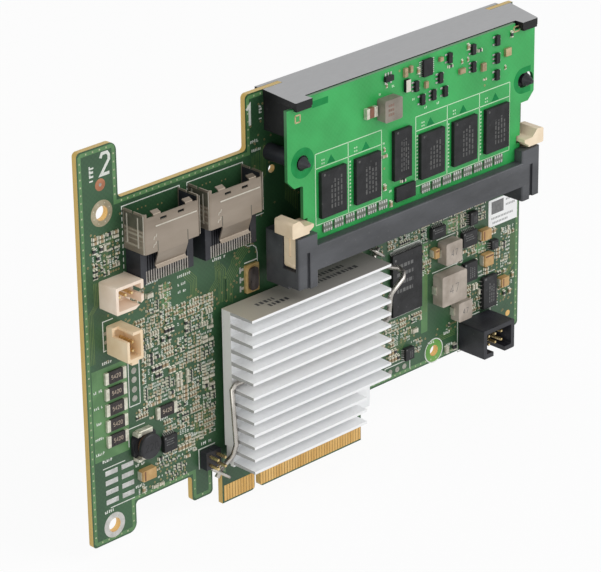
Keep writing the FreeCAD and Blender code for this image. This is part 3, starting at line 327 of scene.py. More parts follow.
def make_piece(name, stock, materials, body="card"):
    """Turn a stock of faces into one piece that rides on a body."""
    mesh = bpy.data.meshes.new(name)
    mesh.from_pydata([Vector(p) * millimetre for p in stock["points"]], [], stock["faces"])
    for material in materials:
        mesh.materials.append(material)
    mesh.polygons.foreach_set("material_index", stock["tints"])
    shape = bmesh.new()
    shape.from_mesh(mesh)
    bmesh.ops.recalc_face_normals(shape, faces=shape.faces)
    shape.to_mesh(mesh)
    shape.free()
    piece = bpy.data.objects.new(name, mesh)
    scene.collection.objects.link(piece)
    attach(piece, body)
    return piece


def inset_corners(corners, amount):
    """Outline moved inwards by an even amount; corners run anticlockwise in X and Z."""
    moved = []
    for i, (x, z) in enumerate(corners):
        before, after = corners[i - 1], corners[(i + 1) % len(corners)]
        first = Vector((x - before[0], z - before[1])).normalized()
        last = Vector((after[0] - x, after[1] - z)).normalized()
        turn = first.x * last.y - first.y * last.x
        moved.append((x + (last.x - first.x) * amount / turn, z + (last.y - first.y) * amount / turn))
    return moved


board_mask = mask_over_laminate("board_mask", mask_dark, mask_mid, mask_pale, 60.0)
pale_mask = finish("pale_mask", (0.075, 0.185, 0.065), (0.120, 0.265, 0.100), broad=200.0, rough=0.38)
dress("main_board", board_mask)
ground_band = new_stock()
outer_run, inner_run = inset_corners(outline_corners, band_start), inset_corners(outline_corners, band_end)
band_ends = []
for i, (x, z) in enumerate(outer_run):
    before, after = outer_run[i - 1], outer_run[(i + 1) % len(outer_run)]
    back = Vector((before[0] - x, before[1] - z)).normalized() * band_cut
    onward = Vector((after[0] - x, after[1] - z)).normalized() * band_cut
    bulges = onward.x * back.y - onward.y * back.x > 0
    band_ends.append(((x + back.x, z + back.y), (x + onward.x, z + onward.y)) if bulges else ((x, z), (x, z)))
for face, way in board_faces:
    for i in range(len(outer_run)):
        if i == notched_run:
            continue
        j = (i + 1) % len(outer_run)
        quad = [band_ends[i][1], band_ends[j][0], inner_run[j], inner_run[i]]
        add_prism(ground_band, quad, face, face + way * pour_depth)
        if j != notched_run and band_ends[j][0] != band_ends[j][1]:
            add_prism(ground_band, [*band_ends[j], inner_run[j]], face, face + way * pour_depth)
copper_areas = [(-55.4, -43.9, 27.4, 52.6), (-31.6, -28.9, 62.0, 68.8), (62.9, 65.4, 24.0, 50.5),
                (71.0, 78.0, 50.6, 54.8), (84.8, 88.6, 41.2, 44.4), (43.5, 47.2, 21.0, 30.0)]
for x0, x1, z0, z1 in copper_areas:
    add_plate(ground_band, x0, x1, z0, z1, board_front, board_front - pour_depth)
make_piece("ground_band", ground_band, [pale_mask])

# Stitch marks and tracks: copper under the mask, which stands out as slightly raised paler
# lines. The stitch marks along the band are small bare squares that tie the ground layers.
stitch_size, stitch_pitch, track_depth = 0.42, 2.0, 0.02
stitch_copper = finish("stitch_copper", (0.36, 0.42, 0.24), (0.52, 0.55, 0.36), broad=600.0, rough=0.4)
stitches = new_stock()
middle_run = inset_corners(outline_corners, (band_start + band_end) / 2)
for face, way in board_faces:
    for i, (x0, z0) in enumerate(middle_run):
        x1, z1 = middle_run[(i + 1) % len(middle_run)]
        steps = 0 if i == notched_run else int(math.hypot(x1 - x0, z1 - z0) / stitch_pitch)
        for k in range(1, steps):
            x, z, half = x0 + (x1 - x0) * k / steps, z0 + (z1 - z0) * k / steps, stitch_size / 2
            add_plate(stitches, x - half, x + half, z - half, z + half, face, face + way * 2 * pour_depth)
make_piece("stitch_marks", stitches, [stitch_copper])

track_mask = finish("track_mask", (0.085, 0.150, 0.045), (0.15, 0.23, 0.07), broad=300.0, rough=0.38)
track_width = 0.17
track_runs = [
    ([(-7.4, 56.2), (-7.4, 62.0), (-4.6, 65.5), (-4.6, 66.2), (-0.8, 69.6)], 6, (-0.55, 0.35)),
    ([(-9.6, 57.5), (-9.6, 66.4), (-11.0, 68.2)], 5, (-0.6, 0.0)),
    ([(-14.8, 57.0), (-14.8, 60.0), (-11.6, 63.4), (-11.6, 69.0)], 4, (-0.5, 0.3)),
    ([(-30.6, 58.0), (-28.8, 61.0), (-26.0, 61.0), (-24.3, 58.6)], 3, (0.0, -0.55)),
    ([(-21.6, 60.0), (-21.6, 66.2), (-24.6, 69.4)], 5, (0.5, 0.25)),
    ([(-17.2, 21.5), (-17.2, 30.0), (-15.2, 32.0), (-15.2, 40.0)], 5, (-0.5, 0.25)),
    ([(-26.0, 20.4), (-22.0, 20.4), (-20.4, 22.0), (-20.4, 26.4)], 4, (-0.45, 0.5)),
    ([(-55.6, 54.5), (-55.6, 68.0), (-53.4, 70.2), (-53.4, 76.0)], 4, (0.5, 0.0)),
    ([(46.0, 24.5), (55.0, 24.5), (57.5, 27.0), (60.5, 27.0)], 6, (0.0, -0.5)),
    ([(64.0, 30.0), (64.0, 44.0), (65.4, 45.5)], 3, (0.5, 0.0)),
    ([(95.5, 24.0), (95.5, 30.0), (99.0, 33.5), (99.0, 44.0)], 5, (0.45, 0.0)),
    ([(70.0, 19.4), (76.6, 19.4)], 4, (0.0, 0.5)),
    ([(2.2, 79.0), (2.2, 86.0), (3.6, 87.4), (3.6, 96.0)], 4, (0.5, 0.2)),
    ([(-3.0, 71.2), (-3.0, 78.0), (0.5, 81.5), (0.5, 94.0)], 5, (0.55, 0.2)),
    ([(12.0, 79.0), (12.0, 92.0), (16.0, 96.0), (30.0, 96.0)], 8, (0.6, -0.6)),
    ([(84.0, 78.0), (84.0, 92.0), (80.0, 96.0), (60.0, 96.0)], 8, (-0.6, -0.6)),
    ([(-50.0, 78.0), (-50.0, 84.0), (-47.0, 87.0)], 4, (0.5, 0.0)),
    ([(94.8, 60.0), (94.8, 90.0), (98.0, 93.0)], 4, (0.6, 0.0))]
back_runs = [
    ([(-52.0, 20.0), (-20.0, 20.0), (-8.0, 32.0), (40.0, 32.0), (52.0, 44.0), (96.0, 44.0)], 14, (0.0, 0.9)),
    ([(-54.0, 50.0), (-30.0, 50.0), (-18.0, 62.0), (60.0, 62.0), (70.0, 72.0), (99.0, 72.0)], 12, (0.0, 0.9)),
    ([(-40.0, 78.0), (10.0, 78.0), (24.0, 92.0), (92.0, 92.0)], 12, (0.0, 0.8))]
tracks = new_stock()
for runs, (face, way) in zip((track_runs, back_runs), board_faces):
    for points, count, (dx, dz) in runs:
        for k in range(count):
            shifted = [(x + dx * k, z + dz * k) for x, z in points]
            add_line(tracks, shifted, track_width, face, face + way * track_depth)
make_piece("signal_tracks", tracks, [track_mask])

# Plated holes and test pads: the bracket holes, the earthed corner hole and the small vias are
# drilled, then plated with tin or gold over copper.
tin_plate = finish("tin_plate", (0.27, 0.26, 0.22), (0.44, 0.43, 0.38), broad=500.0, rough=0.34,
                   metal=0.6, bump=0.2)
gold_plate = finish("gold_plate", (0.62, 0.36, 0.11), (0.80, 0.52, 0.20), broad=300.0, fine=4000.0,
                    rough=0.30, metal=0.9, stretch=(1, 1, 0.12))
bare_copper = finish("bare_copper", (0.36, 0.14, 0.075), (0.50, 0.23, 0.13), broad=400.0, rough=0.42, metal=0.6)
via_tan = finish("via_tan", (0.30, 0.25, 0.11), (0.48, 0.40, 0.20), broad=700.0, rough=0.4, metal=0.3)
ring_tan = finish("ring_tan", (0.36, 0.31, 0.20), (0.50, 0.44, 0.31), broad=500.0, rough=0.36, metal=0.5)
ring_dot = finish("ring_dot", (0.58, 0.54, 0.42), (0.72, 0.68, 0.56), broad=900.0, rough=0.4, metal=0.4)
ring_pale = finish("ring_pale", (0.50, 0.49, 0.46), (0.66, 0.65, 0.62), broad=500.0, rough=0.34, metal=0.5)
# Painted shade: a dark disc stands for the shade down a via's bore.
bore_painted_shade = finish("bore_painted_shade", (0.010, 0.016, 0.010), (0.03, 0.035, 0.02), broad=900.0, rough=0.6)
plated, plate_depth = new_stock(), 0.03
for x, z, ring_tint, dots in ((-49.9, 8.2, 6, 0), (-49.9, 93.7, 4, 8)):
    for face, way in board_faces:
        outer_face = face + way * plate_depth
        add_ring(plated, x, z, 1.95, 3.45, face, outer_face, ring_tint, 40)
        for a, b in circle(x, z, 2.7, dots * 2)[1::2]:
            add_ring(plated, a, b, 0.0, 0.17, outer_face, outer_face + way * 0.01, 5, 8)
    add_ring(plated, x, z, 1.90, 1.95, board_front - plate_depth, board_back + plate_depth, 1, 40)
add_ring(plated, 68.0, 17.2, 1.52, 1.6, board_front - plate_depth, board_back + plate_depth, 1, 32)
spots = [(-50.0, 101.2, 1.6, 0.0, 0.02, 2, 32), (-50.0, 101.2, 0.45, 0.02, 0.05, 0, 16),
         (98.4, 18.7, 0.9, 0.0, plate_depth, 1, 24)]
spots += [(-41.6, z, 0.85, 0.0, 0.05, 0, 24) for z in (48.6, 46.1, 43.4, 40.9)]
spots += [(x, 16.4, 0.8, 0.0, 0.05, 0, 24) for x in (50.6, 53.4, 56.2)]
spots += [(-50.4, z, 0.5, 0.0, 0.05, 0, 20) for z in (61.7, 59.3)]
for x, z, radius, start, end, tint, sides in spots:
    add_ring(plated, x, z, 0.0, radius, board_front - start, board_front - end, tint, sides)
make_piece("plated_holes", plated, [tin_plate, gold_plate, bare_copper, bore_painted_shade, ring_tan, ring_dot, ring_pale])
test_pads = new_stock()
for row in range(4):
    for x, width in ((-52.3, 4.1), (-46.9, 4.0)):
        z = 22.7 - row * 2.72
        add_block(test_pads, x, x + width, z, z + 1.35, board_front, board_front - 0.09, edge=0.05)
for z in (64.2, 61.5, 59.0):
    for x0, x1, half in ((-4.75, -4.25, 0.85), (-4.25, -3.3, 0.35)):
        add_block(test_pads, x0, x1, z - half, z + half, board_front, board_front - 0.1, edge=0.04)
pad_tin = finish("pad_tin", (0.46, 0.46, 0.44), (0.66, 0.66, 0.64), broad=420.0, rough=0.34, metal=0.45, bump=0.2)
make_piece("solder_pads", test_pads, [pad_tin])
earth_ring = new_stock()
add_ring(earth_ring, 68.0, 17.2, 1.6, 3.3, board_front, board_front - 0.02, sides=40)
make_piece("earth_ring", earth_ring, [finish("lime_mask", (0.10, 0.30, 0.04), (0.16, 0.40, 0.07), rough=0.35)])

# White ink: outlines of the parts, port numbers and the small reference marks beside the chip
# parts, screened on over the mask. The marks are plain strokes.
ink_white = finish("ink_white", (0.66, 0.68, 0.62), (0.80, 0.82, 0.76), broad=700.0, rough=0.62, bump=0.3)
ink_depth, ink_width = 0.03, 0.26
digit_strokes = {
    "0": [[(0.2, 0), (0.8, 0), (1, 0.3), (1, 1.7), (0.8, 2), (0.2, 2), (0, 1.7), (0, 0.3), (0.2, 0)]],
    "1": [[(0.2, 1.6), (0.6, 2), (0.6, 0)]],
    "2": [[(0, 1.6), (0.2, 2), (0.8, 2), (1, 1.7), (1, 1.3), (0, 0), (1, 0)]],
    "4": [[(0.8, 0), (0.8, 2), (0, 0.6), (1.05, 0.6)]],
    "5": [[(1, 2), (0.1, 2), (0, 1.15), (0.7, 1.2), (1, 0.9), (1, 0.3), (0.7, 0), (0, 0)]],
    "7": [[(0, 2), (1, 2), (0.35, 0)]]}


def add_digits(stock, text, x, z, size, width, y0, y1, tint=0):
    """Plain numbers from straight strokes."""
    for place, mark in enumerate(text):
        for stroke in digit_strokes[mark]:
            run = [(x + (a + place * 1.65) * size, z + b * size) for a, b in stroke]
            add_line(stock, run, width, y0, y1, tint)


def add_box_outline(stock, x0, x1, z0, z1, width, y0, y1, tint=0):
    """Four strokes round a part."""
    for run in (((x0, z0), (x1, z0)), ((x1, z0), (x1, z1)), ((x1, z1), (x0, z1)), ((x0, z1), (x0, z0))):
        add_line(stock, list(run), width, y0, y1, tint)


def add_dashes(stock, start, end, dash, gap, width, y0, y1, tint=0):
    """Broken stroke from one place to another."""
    length = math.hypot(end[0] - start[0], end[1] - start[1])
    steps = int(length / (dash + gap))
    for k in range(steps):
        a, b = k * (dash + gap) / length, (k * (dash + gap) + dash) / length
        run = [(start[0] + (end[0] - start[0]) * t, start[1] + (end[1] - start[1]) * t) for t in (a, b)]
        add_line(stock, run, width, y0, y1, tint)


def add_marks(stock, rng, x, z, count, height, y0, y1, upright=False):
    """A row of small strokes as big as screened reference marks."""
    step = height * 0.72
    for k in range(count):
        if rng.random() < 0.12:
            continue
        a, b = (x, z + k * step) if upright else (x + k * step, z)
        long_side, short_side = height * rng.uniform(0.7, 1.0), height * rng.uniform(0.22, 0.42)
        w, h = (long_side, short_side) if upright else (short_side, long_side)
        add_plate(stock, a, a + w, b, b + h, y0, y1)
        if rng.random() < 0.55:
            s, t = (short_side * 0.9, step * 0.8) if upright else (step * 0.8, short_side * 0.9)
            at = rng.choice((0.0, 0.5))
            c, d = (a + w * at, b) if upright else (a, b + h * at)
            add_plate(stock, c, c + s, d, d + t, y0, y1 + (y1 - y0) * 0.3)


ink = new_stock()
face, lift = board_front, board_front - ink_depth
for centre in (-33.9, -12.3):
    x0, x1 = centre - 9.6, centre + 9.45
    add_line(ink, [(x0, 70.9), (x0, 71.9)], ink_width, face, lift)
    add_dashes(ink, (x0, 92.6), (x0, 71.0), 1.1, 0.7, ink_width, face, lift)
    add_line(ink, [(x0, 92.2), (x0, 93.55), (x1, 93.55), (x1, 92.4)], ink_width, face, lift)
ink_runs = [
    [(-2.2, 90.2), (-1.2, 88.9), (-1.1, 79.2), (0.3, 77.6), (4.2, 77.6)],
    [(-2.6, 70.7), (-1.6, 70.0), (0.0, 70.0), (1.2, 69.0), (1.62, 67.4), (1.62, 58.4)],
    [(-47.7, 65.0), (-51.1, 65.0), (-51.1, 57.0), (-50.2, 57.0)], [(-53.0, 24.9), (-45.6, 24.9)],
    [(-51.0, 13.4), (-42.8, 13.4)], [(-38.6, 33.0), (-44.1, 33.0), (-44.1, 28.0)],
    [(48.6, 15.0), (48.6, 18.0), (58.4, 18.0), (58.4, 15.0)], [(62.75, 32.4), (62.75, 52.2), (52.0, 52.2)]]
ink_runs += [[(x0, z), (x1, z)] for x0, x1, z in ((68.9, 76.4, 50.0), (67.2, 77.6, 40.7), (86.6, 92.8, 22.9),
                                                  (86.6, 92.8, 33.9), (62.3, 62.9, 52.2))]
wide_runs = [[(-3.0, 65.7), (1.5, 65.7)], [(-20.5, 13.0), (-20.5, 18.7), (-14.8, 18.7)]]
for runs, width in ((ink_runs, ink_width), (wide_runs, ink_width * 1.2)):
    for run in runs:
        add_line(ink, run, width, face, lift)
for box in ((-43.4, -39.8, 39.0, 52.2), (77.6, 91.0, 13.5, 22.9)):
    add_box_outline(ink, *box, ink_width, face, lift)
add_ring(ink, 68.0, 17.2, 3.35, 3.65, face, lift, sides=40)
for number, x, z in (("2", -49.6, 103.6), ("1", -1.6, 102.6)):
    add_digits(ink, number, x, z, 2.7, 0.8, face, lift)
ink_rng = random.Random(41)
upright_rows = 2
for row, (x, z, count, height) in enumerate((
        (-53.4, 102.6, 4, 1.5), (3.2, 102.6, 6, 1.1), (0.0, 97.6, 4, 1.0), (0.4, 95.2, 6, 0.8),
        (-53.0, 26.6, 5, 0.9), (-36.6, 70.3, 6, 1.0), (-26.0, 68.8, 7, 0.9),
        (-26.0, 66.6, 6, 0.8), (-26.0, 64.6, 5, 0.8), (-14.0, 69.6, 7, 0.9),
        (-21.8, 59.2, 12, 0.8), (-53.6, 12.2, 6, 0.9), (-42.4, 15.6, 6, 0.9),
        (-42.2, 21.6, 5, 0.9), (-24.0, 23.4, 6, 0.9), (-24.2, 19.6, 5, 0.8),
        (-19.6, 19.6, 6, 0.9), (-55.0, 46.4, 5, 0.8), (-55.0, 42.0, 5, 0.8),
        (-55.0, 37.6, 5, 0.8), (-55.0, 33.4, 5, 0.8), (-55.0, 29.2, 5, 0.8),
        (-51.8, 53.4, 5, 0.9), (-38.0, 37.4, 4, 0.9), (-33.4, 31.6, 5, 0.8),
        (65.6, 19.6, 4, 0.9), (72.0, 20.6, 5, 0.9), (73.0, 16.6, 4, 0.9),
        (96.2, 43.6, 5, 0.8), (44.2, 30.6, 6, 0.8))):
    add_marks(ink, ink_rng, x, z, count, height, face, lift, upright=row < upright_rows)
make_piece("white_ink", ink, [ink_white])

# Small chip parts: fired ceramic capacitors and resistors with tinned end caps, each on two
# soldered pads. They are placed in rows and blocks round the larger chips.
capacitor_tan = finish("capacitor_tan", (0.30, 0.215, 0.12), (0.46, 0.345, 0.205), broad=900.0, rough=0.45)
resistor_black = finish("resistor_black", (0.018, 0.018, 0.020), (0.05, 0.05, 0.052), broad=900.0, rough=0.38)
capacitor_pale = finish("capacitor_pale", (0.50, 0.46, 0.36), (0.66, 0.61, 0.50), broad=900.0, rough=0.45)
cap_solder = finish("cap_solder", (0.54, 0.52, 0.42), (0.80, 0.78, 0.66), broad=900.0, rough=0.42, metal=0.45)
chip_part_sizes = ((1.0, 0.5, 0.35), (1.6, 0.8, 0.55), (2.0, 1.25, 0.75))


def add_chip_part(stock, x, z, size, upright, tint, seat=board_front):
    """Capacitor or resistor: body between two end caps, with its soldered pads."""
    length, width, height = size
    half, cap, pad = length / 2, length * 0.22, (height * 0.35, width / 2 + 0.06, height * 0.3, 0)
    for a, b, tall, side, edge, shade in (
            (-half, cap - half, height, width / 2, 0.04, 0), (half - cap, half, height, width / 2, 0.04, 0),
            (cap - half, half - cap, height * 0.93, width * 0.47, 0.04, tint),
            (-half - 0.22, 0.05 - half, *pad), (half - 0.05, half + 0.22, *pad)):
        box = (x - side, x + side, z + a, z + b) if upright else (x + a, x + b, z - side, z + side)
        add_block(stock, *box, seat, seat - tall, edge, shade)


def solid_boxes(node):
    """Extent of each solid of a node in millimetres: X, Z and Y ranges."""
    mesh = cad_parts[node].data
    seat_of, parent = {}, []

    def root(i):
        while parent[i] != i:
            i = parent[i]
        return i

    names = []
    for vertex in mesh.vertices:
        key = tuple(round(v / millimetre, 3) for v in vertex.co)
        if key not in seat_of:
            seat_of[key] = len(parent)
            parent.append(len(parent))
        names.append(seat_of[key])
    for polygon in mesh.polygons:
        first = root(names[polygon.vertices[0]])
        for corner in polygon.vertices[1:]:
            parent[root(names[corner])] = first
    boxes = {}
    for (x, y, z), i in seat_of.items():
        box = boxes.setdefault(root(i), [x, x, z, z, y, y])
        for k, v in ((0, x), (2, z), (4, y)):
            box[k], box[k + 1] = min(box[k], v), max(box[k + 1], v)
    return [tuple(box) for box in boxes.values()]


taken = []
for node in ("battery_header", "cable_header", "box_header", "pin_strip", "sense_resistors", "sense_caps",
             "drum_coil", "power_chokes", "choke_terminals", "flash_chip", "flash_leads", "logic_chips",
             "crystal_base", "tantalum_capacitors", "tantalum_caps", "label", "heatsink", "clip_anchors",
             "port_cage_a", "port_cage_b", "port_housing_a", "port_housing_b", "port_contacts_a",
             "port_contacts_b", "dimm_socket", "controller_chip"):
    taken.extend(box[:4] for box in solid_boxes(node))
taken += [(-53.6, -42.2, 12.8, 25.2), (-44.6, -39.4, 38.4, 52.8), (-54.0, -42.6, 26.6, 53.4), (-5.2, 2.0, 56.8, 66.2),
          (-54.0, -46.0, 3.0, 12.2), (64.0, 72.0, 13.0, 21.2), (47.6, 59.0, 14.4, 18.6), (-15.8, -12.4, 4.0, 13.2),
          (-26.6, -18.4, 64.2, 69.6), (-20.8, -14.4, 12.8, 20.6), (-17.6, -7.0, 62.0, 70.0)]
gap_round_parts = 0.45


def is_free(x0, x1, z0, z1, spots):
    """Whether a place keeps clear of all those taken."""
    return not any(x0 < a1 and x1 > a0 and z0 < b1 and z1 > b0 for a0, a1, b0, b1 in spots)


def add_via(stock, x, z, face=board_front, way=-1):
    """Small plated hole: its ring, and a dark disc over its bore as painted shade."""
    add_ring(stock, x, z, 0.14, 0.30, face, face + way * plate_depth, 0, 10)
    add_ring(stock, x, z, 0.0, 0.14, face, face + way * plate_depth / 2, 1, 10)


part_fields = [
    (-41.6, -13.6, 20.6, 62.0, 0.90, 1), (-22.6, -13.6, 18.9, 21.0, 0.7, 2), (-41.6, -23.4, 13.4, 20.6, 0.55, 3),
    (-53.6, -44.0, 76.8, 88.6, 0.80, 4), (-43.6, -37.0, 62.0, 70.0, 0.75, 5), (-37.0, -27.0, 62.0, 69.4, 0.65, 6),
    (62.6, 101.2, 50.6, 59.6, 0.85, 7), (76.6, 101.0, 33.6, 50.6, 0.80, 8), (62.4, 67.6, 41.0, 50.6, 0.7, 9),
    (78.6, 94.6, 23.6, 33.6, 0.8, 10), (93.6, 101.0, 22.4, 33.6, 0.55, 11), (45.0, 63.6, 19.0, 31.8, 0.80, 12),
    (63.6, 77.4, 20.8, 24.2, 0.5, 13), (70.6, 77.0, 14.6, 20.4, 0.7, 14), (39.0, 49.6, 52.4, 59.8, 0.75, 15),
    (49.6, 62.4, 52.6, 59.8, 0.9, 16), (-12.4, -3.8, 71.6, 76.0, 0.4, 17), (40.6, 49.0, 32.0, 52.0, 0.6, 18)]
small_parts, field_ink, vias = new_stock(), new_stock(), new_stock()
for x0, x1, z0, z1, fill, seed in part_fields:
    rng = random.Random(seed)
    cell = 4.6
    x = x0
    while x < x1:
        z = z0
        while z < z1:
            upright = rng.random() < 0.5
            size = chip_part_sizes[rng.choice((0, 0, 0, 1, 1, 2) if fill < 0.85 else (0, 0, 0, 0, 1))]
            tint = rng.choice((1, 1, 1, 2, 3))
            length, width = size[0] + 0.5, size[1] + 0.35
            step_x, step_z = (width, length) if upright else (length, width)
            a = x
            while a + step_x <= min(x + cell, x1):
                b = z
                while b + step_z <= min(z + cell, z1):
                    spot = (a - gap_round_parts * 0.4, a + step_x + gap_round_parts * 0.4, b - 0.1, b + step_z + 0.1)
                    draw = rng.random()
                    if is_free(*spot, taken):
                        if draw < fill * 0.66:
                            shade = tint if rng.random() < 0.8 else rng.choice((1, 2, 3))
                            add_chip_part(small_parts, a + step_x / 2, b + step_z / 2, size, upright, shade)
                        elif draw < fill * 0.9:
                            add_marks(field_ink, rng, a + 0.1, b + 0.1, 2 + int(max(step_x, step_z)),
                                      0.62, board_front, board_front - ink_depth, upright)
                        elif draw < 0.97:
                            add_via(vias, a + step_x / 2, b + step_z / 2)
                    b += step_z
                a += step_x
            z += cell
        x += cell
make_piece("chip_parts", small_parts, [cap_solder, capacitor_tan, resistor_black, capacitor_pale])
make_piece("reference_marks", field_ink, [ink_white])
via_rng = random.Random(77)
bare_places = [(-49.9, 93.7, 4.0), (-49.9, 8.2, 4.0), (68.0, 17.2, 3.9), (7.2, 88.9, 1.6)]
via_fields = [(-24.0, -3.0, 56.0, 70.0, 90), (-44.0, -27.0, 53.5, 70.0, 60), (-6.0, 4.0, 66.0, 76.0, 24),
              (2.0, 100.0, 60.0, 64.0, 60), (44.0, 70.0, 14.6, 22.0, 40), (92.0, 101.0, 20.0, 44.0, 26),
              (4.0, 96.0, 76.0, 108.0, 160), (-55.0, -44.0, 54.0, 100.0, 24), (-3.0, 4.0, 76.0, 110.0, 30)]
for x0, x1, z0, z1, count in via_fields:
    for _ in range(count):
        x, z = via_rng.uniform(x0, x1), via_rng.uniform(z0, z1)
        if x < -0.2 and z > 94.8 or any(math.hypot(x - a, z - b) < reach for a, b, reach in bare_places):
            continue
        for face, way in board_faces:
            if way > 0 or is_free(x - 0.3, x + 0.3, z - 0.3, z + 0.3, taken):
                add_via(vias, x, z, face, way)
make_piece("vias", vias, [via_tan, bore_painted_shade])

# Contact fingers: copper under hard gold, bevelled at the slot edge, on both faces. No mask is
# printed between them, so the bare laminate shows there.
dress("edge_contacts", gold_plate)
bare_laminate = finish("bare_laminate", (0.40, 0.235, 0.065), (0.54, 0.34, 0.11), broad=500.0, rough=0.5)
bare_strips = new_stock()
finger_boxes = solid_boxes("edge_contacts")
for side in (-1, 1):
    tab = [box for box in finger_boxes if box[0] * side > 0]
    x0, x1 = min(box[0] for box in tab) - 0.15, max(box[1] for box in tab) + 0.15
    z0, z1 = tab[0][2], tab[0][3]
    for face, way in board_faces:
        add_plate(bare_strips, x0, x1, z0, z1, face, face + way * 0.015)
make_piece("bare_strips", bare_strips, [bare_laminate])

# Controller, its pad and the heatsink: an aluminium comb sawn from an extrusion, sat on a soft
# pad over the controller. Saw marks run up the fins' ends.
moulded_black = finish("moulded_black", (0.020, 0.020, 0.022), (0.042, 0.042, 0.045), broad=400.0, fine=3500.0,
                       rough=0.42, bump=0.25)
fin_metal = finish("fin_metal", (0.94, 0.95, 0.96), (0.99, 0.99, 0.99), broad=90.0, fine=1600.0, rough=0.40,
                   rough_spread=0.07, metal=0.0, bump=0.2, bump_depth=0.015, stretch=(0.05, 1, 1), flecks=0.02)
pad_grey = finish("pad_grey", (0.40, 0.40, 0.40), (0.55, 0.55, 0.55), rough=0.8)
dress("controller_chip", moulded_black)
dress("thermal_pad", pad_grey)
tree, fin_colour, fin_tone = paint_of(fin_metal)
fin_place = add_node(tree, "SeparateXYZ", add_node(tree, "TexCoord")["Object"])
# Painted light on the comb's top face: it is painted darker than the fins as painted shade under the socket, and paler
# towards the left end as a painted reflection.
painted_shade_top_share = share_between(tree, fin_place["Z"], 56.90 * millimetre, 56.98 * millimetre)
in_base = share_between(tree, fin_place["Y"], -6.1 * millimetre, -5.9 * millimetre)
painted_reflection_share = share_between(tree, fin_place["X"], -13.0 * millimetre, 12.0 * millimetre)
# End faces take their own grey, lighter on the base's end than on the fins' ends.
end_face_grey = blend_colour(tree, in_base, (0.44, 0.44, 0.43), (0.78, 0.78, 0.76))
end_tone = blend_colour(tree, facing(tree, "X", 0.6, 0.9), fin_tone, end_face_grey)
top_painted_shade_tone = blend_colour(tree, painted_reflection_share, (0.56, 0.51, 0.42), (0.40, 0.38, 0.35))
tree.links.new(blend_colour(tree, painted_shade_top_share, end_tone, top_painted_shade_tone), fin_colour)
dress("heatsink", fin_metal)
skin_marks, skin_height, print_skin = new_stock(), 57.0, 0.012
mark_rng = random.Random(12)
for x0, x1, y in ((-5.6, 0.6, -8.4), (-3.4, 2.6, -10.9), (16.0, 28.0, -6.4), (15.0, 30.0, -9.2)):
    x = x0
    while x < x1:
        wide = mark_rng.uniform(0.5, 1.2)
        add_plate(skin_marks, x, x + wide, skin_height, skin_height + print_skin, y, y + 1.5)
        x += wide + 0.55
make_piece("heatsink_marks", skin_marks, [finish("stamp_ink", (0.05, 0.05, 0.05), (0.10, 0.10, 0.10), rough=0.6)])

# Clip: one spring steel wire through the channel of the heatsink, hooked under two staples
# that are soldered into the board.
wire_steel = finish("wire_steel", (0.36, 0.34, 0.31), (0.56, 0.53, 0.49), broad=300.0, fine=2600.0, rough=0.26,
                    metal=0.9, bump=0.12, stretch=(1, 1, 0.2))
dress("heatsink_clip clip_anchors", wire_steel)
for node in ("heatsink_clip", "clip_anchors"):
    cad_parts[node].modifiers.new("join", "WELD").merge_threshold = skin_join * millimetre
    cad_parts[node].data.shade_smooth()

# Cable ports: each a folded and nickel plated steel cage over a moulded body, with eighteen
# contact tails soldered in a row below it.
cage_steel = finish("cage_steel", (0.245, 0.200, 0.155), (0.335, 0.280, 0.225), broad=160.0, fine=1800.0, rough=0.34,
                    rough_spread=0.05, metal=0.55, bump=0.04, stretch=(0.3, 1, 1), flecks=0.0)
cage_bright = finish("cage_bright", (0.52, 0.48, 0.40), (0.66, 0.62, 0.54), broad=300.0, rough=0.45, metal=0.2,
                     bump=0.02, flecks=0.0)
cage_sheen = finish("cage_sheen", (0.30, 0.26, 0.20), (0.42, 0.38, 0.30), broad=300.0, rough=0.45, metal=0.2,
                    bump=0.02, flecks=0.0)
cage_dark = finish("cage_dark", (0.060, 0.060, 0.042), (0.105, 0.100, 0.074), broad=300.0, rough=0.4, bump=0.02,
                   flecks=0.0)
body_black = finish("body_black", (0.014, 0.014, 0.018), (0.028, 0.029, 0.036), broad=260.0, fine=3000.0, rough=0.46,
                    shine=0.4)
tail_metal = finish("tail_metal", (0.31, 0.28, 0.25), (0.46, 0.43, 0.39), broad=500.0, rough=0.32, metal=0.8)
cage_front, cage_half = board_front - 7.75, 9.25
# Painted light on the cage walls: the pale lines on the raised edges are painted highlights, the pale bands low on the
# wall are painted highlights of the spring fingers, and the dark plate over the window is painted shade.
wall_painted_light = [(-2.45, -2.1, 84.6, 92.2, 0.14, 1), (-6.45, -6.1, 84.0, 92.0, 0.14, 1), (-8.1, -1.2, 88.9, 92.6, 0.04, 2),
              (-7.7, -1.5, 88.3, 88.6, 0.08, 5), (-7.9, -1.4, 87.1, 87.7, 0.08, 5), (-7.7, -1.6, 85.9, 86.25, 0.08, 5),
              (-7.9, -1.4, 84.2, 84.7, 0.08, 5), (-8.35, -8.1, 82.8, 93.0, 0.06, 1)]
# The black sheet on the inner face of the far wall is painted shade; the small steel plates are spring tabs.
inner_painted_shade_and_tabs = [(-7.7, -1.2, 83.2, 92.7, 0.06, 3)]
inner_painted_shade_and_tabs += [(y, y + 0.6, z, z + 0.7, 0.16, 0) for y in (-3.2, -5.9) for z in (90.2, 88.2)]
